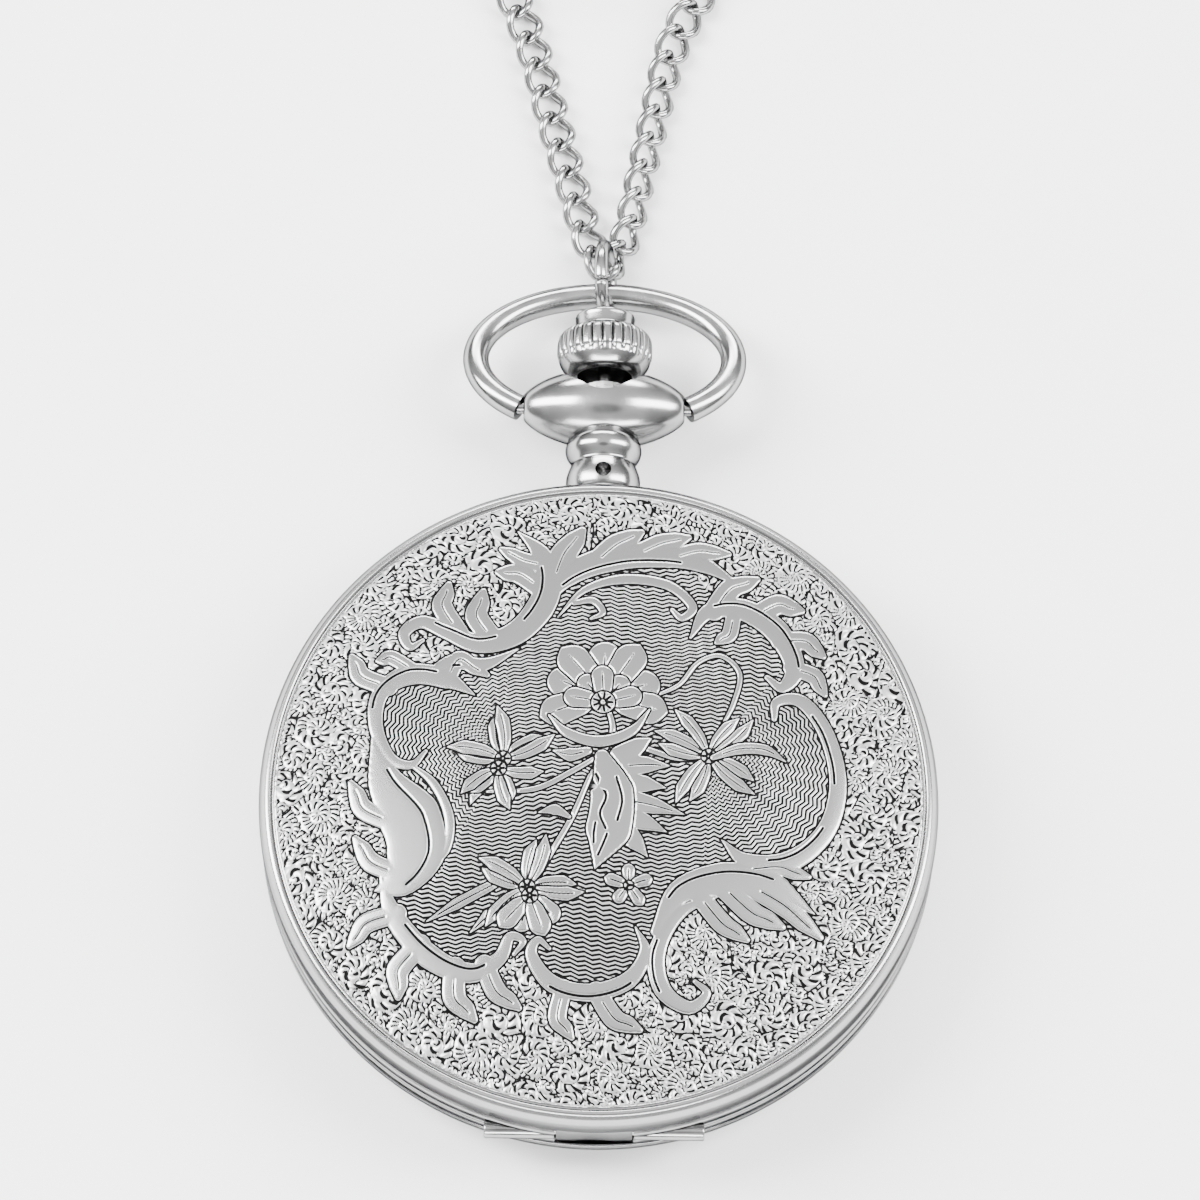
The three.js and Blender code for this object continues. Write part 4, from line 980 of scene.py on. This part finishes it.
def make_band():
    proud, groove = CASE_R - 0.02, CASE_R - 0.16
    profile = rounded([(21.9, 3.3), (21.9, 4.3), (proud, 4.3), (proud, 5.1), (groove, 5.25), (groove, 5.95),
                       (proud, 6.1), (proud, 6.6), (22.9, 7.18), (20.42, 7.18), (20.42, 3.3)], 0.12)
    band = lathe("case_band_smooth", profile, 360)
    at = (0, HINGE_Y, HINGE_Z)
    for side in (-1, 1):
        ends = (side * KNUCKLE_ROOM, side * KNUCKLE_END)
        cut(band, soft_rod("knuckle", KNUCKLE_R, ends, 0.12, at), "UNION")
    room = (-KNUCKLE_ROOM, KNUCKLE_ROOM)
    cut(band, rod("notch", NOTCH_R, *room, "x", at))
    cut(band, rounded_box("web_room", room, (-24.5, -22.1), (HINGE_Z, 7.7), 0.05))
    cut(band, rod("bore", PIN_BORE, -9, 9, "x", at, 32))
    cut(band, rod("stem_hole", 1.3, 19, 24.5, "y", (0, 0, STEM_Z), 40))
    finish_piece(band, "case", "plated_metal", SILVER, "case_band")


def make_pin():
    high = box_mm("lid_hinge_pin")[1]
    half, radius = high[0] - 0.02, high[2] - HINGE_Z
    pin = soft_rod("lid_hinge_pin_smooth", radius, (-half, half), 0.1, (0, HINGE_Y, HINGE_Z), 32)
    finish_piece(pin, "case", "steel", STEEL, "lid_hinge_pin")


HEAD_HALF = box_mm("pendant")[1][0]  # half the width of the pendant's spindle-shaped head


def head_radius(x):
    return 0.88 + 2.05 * np.maximum(0, 1 - (x / HEAD_HALF) ** 2) ** 0.75


def make_pendant():
    x = -HEAD_HALF * np.cos(np.linspace(0.02, math.pi - 0.02, 61))
    spindle = [(0, -HEAD_HALF)] + [(head_radius(v) - 0.02, v) for v in x] + [(0, HEAD_HALF)]
    pendant = lathe("pendant_smooth", spindle, 96, "x", (0, PIVOT_Y, STEM_Z), False)
    neck = spline([(1.25, 23.62), (2.15, 23.66), (2.5, 23.95), (2.62, 24.5), (2.6, 25.1), (2.42, 25.7),
                   (2.28, 26.05), (2.36, 26.3), (2.62, 26.75), (2.7, 27.2), (2.6, 27.7), (2.28, 28.15),
                   (2.1, 28.6), (2.1, 30)], 4)
    outline = [(0, 20.6), (1.25, 20.6), *neck.tolist(), (0, 30)]
    centre = (0, 0, STEM_Z)
    cut(pendant, lathe("neck", outline, 96, "y", centre, False), "UNION")
    seat = [(0, 30.8), (2.75, 30.8), (2.88, 30.88), (2.96, 31.1), (3.35, 32.9), (3.65, 34.6), (0, 34.6)]
    cut(pendant, lathe("seat", seat, 96, "y", centre, False))
    cut(pendant, rod("wide_bore", 1.65, 26, 32, "y", centre))
    cut(pendant, rod("narrow_bore", 0.85, 20, 27, "y", centre))
    for side in (-1, 1):
        ends = sorted((side * 3.6, side * 7))
        cut(pendant, rod("pivot_hole", 0.55, *ends, "x", (0, PIVOT_Y, STEM_Z), 32))
    pit = [(0, STEM_Z + 0.5), (0.5, STEM_Z + 0.5), (0.55, STEM_Z + 2.3), (0.66, STEM_Z + 4), (0, STEM_Z + 4)]
    cut(pendant, lathe("pit", pit, 32, "z", (0, 24.9, 0), False))
    finish_piece(pendant, "case", "plated_metal", SILVER, "pendant")


FLUTES = 27
FLUTE_POINTS = 12  # round each flute
FLUTE_DEPTH = 0.42
SKIRT_Y = 32.92  # where the crown begins


def make_crown():
    """A domed cap over a ring of flutes, which run down to points on the flared skirt."""
    low, high = box_mm("crown")
    top = high[1]
    skirt, width = SKIRT_Y, high[0]
    columns = FLUTES * FLUTE_POINTS
    profile = spline([(2.1, skirt), (2.5, 33.02), (2.82, 33.3), (3.15, 33.75), (width - 0.1, 34.2),
                      (width, 34.5), (width, 35.25), (width - 0.1, 35.75), (3.0, 36.05), (2.5, 36.3),
                      (2.2, 36.42), (2.1, 36.6), (2.1, 37.1), (2.12, 37.4),
                      (2.02, top - 0.06), (1.9, top)], 6)
    angle = np.arange(columns) * 2 * math.pi / columns
    wave = np.abs(np.sin(angle * FLUTES / 2))
    scallop = 1 - np.sqrt(np.maximum(0, 1 - (1 - wave) ** 2 * 0.98))

    def around(radius, y):
        return np.stack([radius * np.cos(angle), np.full(columns, y), radius * np.sin(angle)], -1)

    rows = []
    for radius, y in profile:
        reach = smooth(33.3, 34.3, y)
        depth = FLUTE_DEPTH * reach * (1 - smooth(35.75, 36.05, y))
        pointed = np.clip((reach - 0.9 * (1 - wave)) * 3, 0, 1) if y < 34.4 else 1
        r = radius - depth * scallop * pointed
        rows.append(around(r, y))
    inner = [(1.95, skirt), (1.82, skirt + 1.3), (0.45, skirt + 1.3), (0.42, skirt), (0.42, low[1] + 0.05)]
    for radius, y in inner:
        rows.insert(0, around(radius, y))
    points = np.concatenate(rows)
    count = len(rows)
    caps = np.array([[count * columns + end, row * columns + i, row * columns + (i + 1) % columns]
                     for end, row in ((0, 0), (1, count - 1)) for i in range(columns)])
    points = np.concatenate([points, [(0, low[1] + 0.05, 0), (0, top, 0)]])
    points[:, 2] += STEM_Z
    crown = new_mesh("crown_fluted", points, [caps, grid_faces(count, columns, False, True)])
    tidy(crown)
    sharpen(crown, 50)
    finish_piece(crown, "crown_knob", "plated_metal", SILVER, "crown")


def tube(name, line, radius, sides=24, closed=False, roll_axis=(0, 0, 1)):
    """Round wire along a line of points, with its ends closed flat if it is open."""
    line = np.asarray(line, float)
    if closed:
        tangent = unit(np.roll(line, -1, 0) - np.roll(line, 1, 0))
    else:
        tangent = unit(np.gradient(line, axis=0))
    side = unit(np.cross(np.asarray(roll_axis, float), tangent))
    up = np.cross(tangent, side)
    s = np.arange(sides) * 2 * math.pi / sides
    radii = np.full(len(line), radius) if np.isscalar(radius) else np.asarray(radius, float)
    ring = np.cos(s)[None, :, None] * side[:, None] + np.sin(s)[None, :, None] * up[:, None]
    points = (line[:, None] + radii[:, None, None] * ring).reshape(-1, 3)
    faces = [grid_faces(len(line), sides, closed, True)]
    if not closed:
        n = len(points)
        points = np.concatenate([points, line[:1], line[-1:]])
        i = np.arange(sides)
        last = (len(line) - 1) * sides
        faces.insert(0, np.stack([np.full(sides, n), (i + 1) % sides, i], -1))
        faces.insert(0, np.stack([np.full(sides, n + 1), last + i, last + (i + 1) % sides], -1))
    obj = new_mesh(name, points, faces)
    tidy(obj)
    return obj


BOW_HALF, BOW_RISE, BOW_OFFSET = 9.2, 6.1, 4.62
BOW_WIRE = 0.92
BOW_DROOP = 18.5  # degrees below the case's plane
BOW_END = HEAD_HALF + 0.22
PIVOT_R = 0.44


def laid_bow(points):
    """From the bow's own plane to where it droops onto the table."""
    a = math.radians(-BOW_DROOP)
    p = np.asarray(points, float)
    y = p[:, 1] * math.cos(a) - p[:, 2] * math.sin(a)
    z = p[:, 1] * math.sin(a) + p[:, 2] * math.cos(a)
    return np.stack([p[:, 0], y + PIVOT_Y, z + STEM_Z], -1)


def make_bow():
    first = math.acos(BOW_OFFSET / BOW_RISE) - math.radians(6)
    t = np.linspace(0, 1, 160)
    angle = first + t * 2 * (math.pi - first)
    x = BOW_HALF * np.sin(angle)
    y = BOW_OFFSET - BOW_RISE * np.cos(angle)
    keep = (np.abs(x) >= BOW_END) | (y > 3)
    line = laid_bow(np.stack([x, y, 0 * x], -1)[keep])
    tangent = math.radians(BOW_DROOP)
    bow = tube("bow_smooth", line, BOW_WIRE, 32, roll_axis=(0, math.sin(tangent), math.cos(tangent)))
    for side in (-1, 1):
        ends = (side * 3.95, side * (BOW_END + 0.3))
        cut(bow, soft_rod("pivot", PIVOT_R, ends, 0.08, (0, PIVOT_Y, STEM_Z), 32), "UNION")
    finish_piece(bow, "bow_loop", "plated_metal", SILVER, "bow")


def make_jump_ring():
    """Round wire bent into a ring, with its two ends meeting in a fine split."""
    centre = (RING_LOW + RING_HIGH) / 2
    wire = 0.48
    radius = (RING_HIGH[2] - RING_LOW[2]) / 2 - wire
    gap = math.radians(1.1)
    angle = np.linspace(gap, 2 * math.pi - gap, 120) + math.radians(200)
    turn = math.radians(90 - 8)
    x, y = radius * np.cos(angle), radius * np.sin(angle)
    line = np.stack([centre[0] + x * math.cos(turn), centre[1] + y, centre[2] - x * math.sin(turn)], -1)
    ends = np.full(len(line), wire)
    ends[[0, -1]] = 0.86 * wire
    ring = tube("jump_ring_smooth", line, ends, 24, roll_axis=(math.sin(turn), 0, math.cos(turn)))
    finish_piece(ring, "bow_loop", "plated_metal", SILVER, "jump_ring")


# ------------------------------------------------------------------ face of the watch
def make_bezel():
    profile = rounded([(18.5, 7.27), (22.08, 7.27), (22.08, 8.05), (21.9, 8.3), (21.4, 8.62), (20.7, 8.98),
                       (19.9, 9.12), (19.35, 9.12), (19.32, 8.3), (18.5, 8.28)], 0.12)
    bezel = lathe("crystal_bezel_smooth", profile, 240)
    cut(bezel, rounded_box("notch", (1.1, 3.4), (18.95, 24), (7, 9), 0.1))
    finish_piece(bezel, "case", "plated_metal", SILVER, "crystal_bezel")


def make_crystal():
    outer = spline([(0.0, 10.2), (4, 10.15), (8, 10.0), (14, 9.62), (17.6, 9.26), (18.9, 8.98),
                    (19.2, 8.8)], 4)
    under = spline([(19.2, 8.67), (18.2, 8.67), (14, 9.03), (7, 9.42), (0.0, 9.55)], 4)
    crystal = lathe("crystal_smooth", np.concatenate([outer, under]), 180, closed=False)
    finish_piece(crystal, "case", "crystal_glass", GLASS, "crystal")


def flat_mark(centre, length, width, angle, low, high, taper=1.0):
    """A small upright prism standing for one stroke of paint: four corners, turned about its centre."""
    a = math.radians(angle)
    along, across = np.array([math.sin(a), math.cos(a)]), np.array([math.cos(a), -math.sin(a)])
    c = np.asarray(centre, float)
    corners = [c + along * s * length / 2 + across * t * width / 2 * (taper if s < 0 else 1)
               for s, t in ((-1, -1), (-1, 1), (1, 1), (1, -1))]
    points = [(x, y, z) for z in (low, high) for x, y in corners]
    faces = [(3, 2, 1, 0), (4, 5, 6, 7), (0, 1, 5, 4), (1, 2, 6, 5), (2, 3, 7, 6), (3, 0, 4, 7)]
    return points, faces


# Each stroke of a Roman numeral, in widths of the figure: (x, lean, thick).
ROMAN = {"I": [(0.5, 0, 1)], "V": [(0.28, 14, 1.2), (0.72, -14, 0.6)], "X": [(0.5, 22, 1.2), (0.5, -22, 0.6)]}
ROMAN_WIDTH = {"I": 0.62, "V": 1.25, "X": 1.25}


def numeral_strokes(text, radius, angle, height, low, high):
    """The strokes and serifs of one numeral, its foot towards the middle of the dial."""
    spans = [ROMAN_WIDTH[c] for c in text]
    x = -sum(spans) / 2
    turn = math.radians(angle)
    out_way = np.array([math.sin(turn), math.cos(turn)])
    side = np.array([math.cos(turn), -math.sin(turn)])
    marks = []
    for letter, span in zip(text, spans):
        for place, lean, thick in ROMAN[letter]:
            centre = out_way * radius + side * (x + span * place)
            marks.append(flat_mark(centre, height / math.cos(math.radians(lean)), 0.3 * thick, angle + lean,
                                   low, high))
        for end in (-1, 1):
            centre = out_way * (radius + end * height / 2) + side * (x + span / 2)
            marks.append(flat_mark(centre, 0.13, span * 0.86, angle, low, high))
        x += span
    return marks


TRACK_R, SECONDS_R = 17.15, 3.45  # middles of the minute and seconds tracks
HOUR_R, HOUR_HEIGHT = 14.2, 3.1  # middle and height of the numerals


def make_dial():
    low, high = box_mm("dial")
    radius, top, foot = high[0], high[2], low[2]
    face = top - 0.02
    profile = rounded([(1.15, foot), (radius, foot), (radius, face), (1.15, face)], 0.06)
    dial = lathe("dial_enamel", profile, 180)
    centre = np.array(SECONDS_AT)
    flush = (top - 0.03, top + 0.02)  # foot and top of the paint on the dial
    sunk = (top - 0.14, top - 0.1)  # and in the seconds circle
    cut(dial, lathe("sunk", [(0, top - 0.12), (3.9, top - 0.12), (4.0, top + 0.5), (0, top + 0.5)], 120, "z",
                    (*centre, 0), False))
    cut(dial, rod("seconds_hole", 0.4, foot - 1, top + 1, "z", (*centre, 0), 24))
    finish_piece(dial, "case", "enamel", ENAMEL, "dial")
    marks = []
    for minute in range(60):
        a = math.radians(6 * minute)
        way = np.array([math.sin(a), math.cos(a)])
        wide, tall = (0.32, 0.55) if minute % 5 == 0 else (0.14, 0.35)
        marks.append(flat_mark(way * TRACK_R, 0.9, wide, 6 * minute, *flush))
        marks.append(flat_mark(centre + way * SECONDS_R, tall, 0.1, 6 * minute, *sunk))
    hours = ["XII", "I", "II", "III", "IIII", "V", "VI", "VII", "VIII", "IX", "X", "XI"]
    for hour, text in enumerate(hours):
        if text != "VI":
            marks += numeral_strokes(text, HOUR_R, 30 * hour, HOUR_HEIGHT, *flush)
    points, faces = [], []
    for corners, sides in marks:
        faces += [[i + len(points) for i in side] for side in sides]
        points += corners
    paint_piece = new_mesh("dial_painting", points, [np.array(faces)], smooth=False)
    edit_mesh(paint_piece, face_outward)
    finish_piece(paint_piece, "case", "enamel", PAINT)
    rings = []
    for inner, outer, (z0, z1), at in ((16.58, 16.7, flush, (0, 0)), (17.6, 17.72, flush, (0, 0)),
                                       (3.62, 3.74, sunk, centre)):
        rings.append(lathe("ring", [(inner, z0), (outer, z0), (outer, z1), (inner, z1)], 180, "z", (*at, 0)))
    tracks, *others = rings
    for other in others:
        cut(tracks, other, "UNION")
    tracks.name = "dial_tracks"
    finish_piece(tracks, "case", "enamel", PAINT)


def spade_hand(name, body, node, centre, length, width, low, high, spade):
    """A tapering hand with a round hub, and a leaf or spade near its tip, crowned along its middle."""
    t = np.linspace(0, 1, 60)
    reach = -0.12 + 1.12 * t
    half = np.where(reach < 0.03, 0.09 * width, 0.1 * width)
    bulge = np.exp(-((reach - 0.72) / 0.085) ** 2) * spade
    taper = np.clip((1 - reach) / 0.22, 0, 1) ** 0.6
    half = (half * (1.15 - 0.4 * t) + bulge) * np.where(reach > 0.78, taper, 1) + 0.02
    hub = 0.62 * width
    round_part = np.sqrt(np.maximum(0, hub ** 2 - (reach * length) ** 2))
    half = np.maximum(half, round_part)
    columns = np.array([-1, -0.85, -0.5, 0, 0.5, 0.85, 1])
    crowned = low + 0.04 + (high - low - 0.04) * (1 - np.abs(columns) ** 3)
    rows = []
    for order, tall in ((columns, crowned), (columns[::-1], np.full(len(columns), low))):
        u = order[None, :] * half[:, None]
        v = np.repeat((reach * length)[:, None], len(columns), 1)
        w = np.repeat(tall[None, :], len(t), 0)
        rows.append(np.stack([u, v, w], -1))
    section = np.concatenate(rows, 1)
    count = section.shape[1]
    points = section.reshape(-1, 3)
    faces = [grid_faces(len(t), count, False, True)]
    ends = [np.arange(count)[None, ::-1], (len(t) - 1) * count + np.arange(count)[None, :]]
    hand = new_mesh(name, points + (*centre, 0), [*faces, *ends])
    edit_mesh(hand, face_outward)
    sharpen(hand, 40)
    finish_piece(hand, body, "blued_steel", BLUED, node)
    return hand


HANDS = [  # node, body, hub hole, width, and the size of the spade
    ("hour_hand", "hour", 1.04, 2.7, 1.05),
    ("minute_hand", "center", 0.66, 2.0, 0.7),
    ("seconds_hand", "fourth", 0.26, 0.8, 0.0),
]


def make_hands():
    for node, body, hole, width, spade in HANDS:
        low, high = box_mm(node)
        centre = SECONDS_AT if node == "seconds_hand" else (0, 0)
        length = high[1] - centre[1]
        hand = spade_hand(node + "_leaf", body, node, centre, length, width, low[2], high[2], spade)
        cut(hand, rod("hole", hole, low[2] - 1, high[2] + 1, "z", (*centre, 0), 48))
        use(hand, BLUED)


# ------------------------------------------------------------------ finishes kept for the CAD's own pieces
def clear_glass(name):
    material, nodes, links, shader = new_material(name)
    shader.inputs["Transmission Weight"].default_value = 1
    shader.inputs["IOR"].default_value = 1.5
    shader.inputs["Base Color"].default_value = (0.97, 0.99, 0.985, 1)
    cloud = noise(nodes, links, 300, 3)
    drive(nodes, links, shader.inputs["Roughness"], cloud, [(0.3, grey(0.0)), (0.8, grey(0.05))])
    return material


def coated(name, light, dark, rough, scale=800, coat=0.0):
    """A painted, enamelled or moulded surface."""
    material, nodes, links, shader = new_material(name)
    cloud = noise(nodes, links, scale, 5)
    drive(nodes, links, shader.inputs["Base Color"], cloud, [(0.3, dark), (0.7, light)])
    drive(nodes, links, shader.inputs["Roughness"], cloud, [(0.3, grey(rough[0])), (0.7, grey(rough[1]))])
    shader.inputs["Coat Weight"].default_value = coat
    shader.inputs["Coat Roughness"].default_value = 0.05
    return material


GLASS = clear_glass("crystal_glass")
ENAMEL = coated("white_enamel", (0.86, 0.85, 0.81), (0.82, 0.81, 0.77), (0.18, 0.3), 350, 0.6)
PAINT = coated("dial_paint", grey(0.02), grey(0.012), (0.3, 0.45), 2000)
PLASTIC = coated("spacer_plastic", grey(0.11), grey(0.08), (0.4, 0.6), 1500)
SPRING = metal("spring_steel", grey(0.55), grey(0.42), (0.2, 0.35), 2500, 0.1, (1, 1, 6))

FINISHES = [
    (STEEL, ["push_sleeve", "winding_stem", "winding_pinion", "sliding_clutch", "setting_lever",
             "ratchet_wheel", "barrel_arbor", "crown_wheel", "click", "pallet_fork",
             "escape_wheel", "cannon_pinion"]),
    (SPRING, ["lift_spring", "latch_spring", "mainspring"]),
    (BLUED, ["hairspring", "balance_cock_screw"] + [f"{part}_bridge_screw_{i}" for part in ("barrel", "train")
                                                    for i in (1, 2, 3)]),
    (GILT, ["main_plate", "barrel_bridge", "train_bridge", "balance_cock", "pallet_cock", "mainspring_barrel",
            "center_wheel", "third_wheel", "fourth_wheel", "balance_wheel", "minute_wheel", "hour_wheel"]),
    (PLASTIC, ["movement_ring", "crystal_gasket"]),
]


def finish_cad_nodes():
    for material, names in FINISHES:
        for name in names:
            node = frame["nodes"][name]
            for slot in node.material_slots:
                slot.material = material
            if not node.material_slots:
                node.data.materials.append(material)


# ------------------------------------------------------------------ floor and light
FLOOR_HALF, FLOOR_Z = 3000, -0.03
SKY_STRENGTH = 1.8


def make_stage():
    corners = [(x * FLOOR_HALF, y * FLOOR_HALF, FLOOR_Z) for x, y in ((-1, -1), (1, -1), (1, 1), (-1, 1))]
    floor = new_mesh("floor", corners, [np.array([[0, 1, 2, 3]])])
    use(floor, coated("pale_floor", grey(0.93), grey(0.9), (0.6, 0.8), 40))


def make_world():
    world = bpy.data.worlds.new("studio")
    bpy.context.scene.world = world
    world.use_nodes = True
    nodes, links = world.node_tree.nodes, world.node_tree.links
    place = nodes.new("ShaderNodeTexCoord")
    parts = nodes.new("ShaderNodeSeparateXYZ")
    links.new(place.outputs["Generated"], parts.inputs[0])
    sky = ramp(nodes, links, parts.outputs["Z"], [
        (0.0, grey(0.1)), (0.3, grey(0.24)), (0.65, grey(0.6)), (0.85, grey(0.85)), (1.0, grey(1.0))])
    aside = nodes.new("ShaderNodeVectorMath")
    aside.operation = "DOT_PRODUCT"
    tilt = math.radians(VIEW_ELEVATION)
    aside.inputs[1].default_value = (0, -math.cos(tilt), math.sin(tilt))
    links.new(place.outputs["Generated"], aside.inputs[0])
    booth = ramp(nodes, links, aside.outputs["Value"], [(0.0, grey(1)), (0.955, grey(1)), (0.985, grey(0.3))])
    both = nodes.new("ShaderNodeMix")
    both.data_type = "RGBA"
    both.blend_type = "MULTIPLY"
    both.inputs["Factor"].default_value = 1
    links.new(sky, both.inputs["A"])
    links.new(booth, both.inputs["B"])
    links.new(both.outputs["Result"], nodes["Background"].inputs["Color"])
    nodes["Background"].inputs["Strength"].default_value = SKY_STRENGTH


# Softboxes: place, what they point at, width, height (metres) and power.
LIGHTS = [
    ((-0.4, 0.1, 0.4), (0, 0.01, 0), 0.2, 0.5, 10.0),
    ((0.42, 0.05, 0.42), (0, 0.01, 0), 0.2, 0.5, 8.0),
    ((0.0, -0.55, 0.28), (0, 0.01, 0), 0.6, 0.12, 5.0),
    ((0.0, 0.6, 0.25), (0, 0.02, 0), 0.5, 0.16, 7.0),
]


def make_lights():
    for i, (place, target, wide, tall, power) in enumerate(LIGHTS):
        data = bpy.data.lights.new(f"softbox_{i}", "AREA")
        data.shape = "RECTANGLE"
        data.size, data.size_y, data.energy = wide, tall, power
        light = bpy.data.objects.new(data.name, data)
        light.location = place
        way = Vector(target) - Vector(place)
        light.rotation_euler = way.to_track_quat("-Z", "Y").to_euler()
        bpy.context.collection.objects.link(light)


make_camera()
make_chain()
make_lid()
make_back()
make_band()
make_pin()
make_pendant()
make_crown()
make_bow()
make_jump_ring()
make_bezel()
make_crystal()
make_dial()
make_hands()
finish_cad_nodes()
make_stage()
make_world()
make_lights()
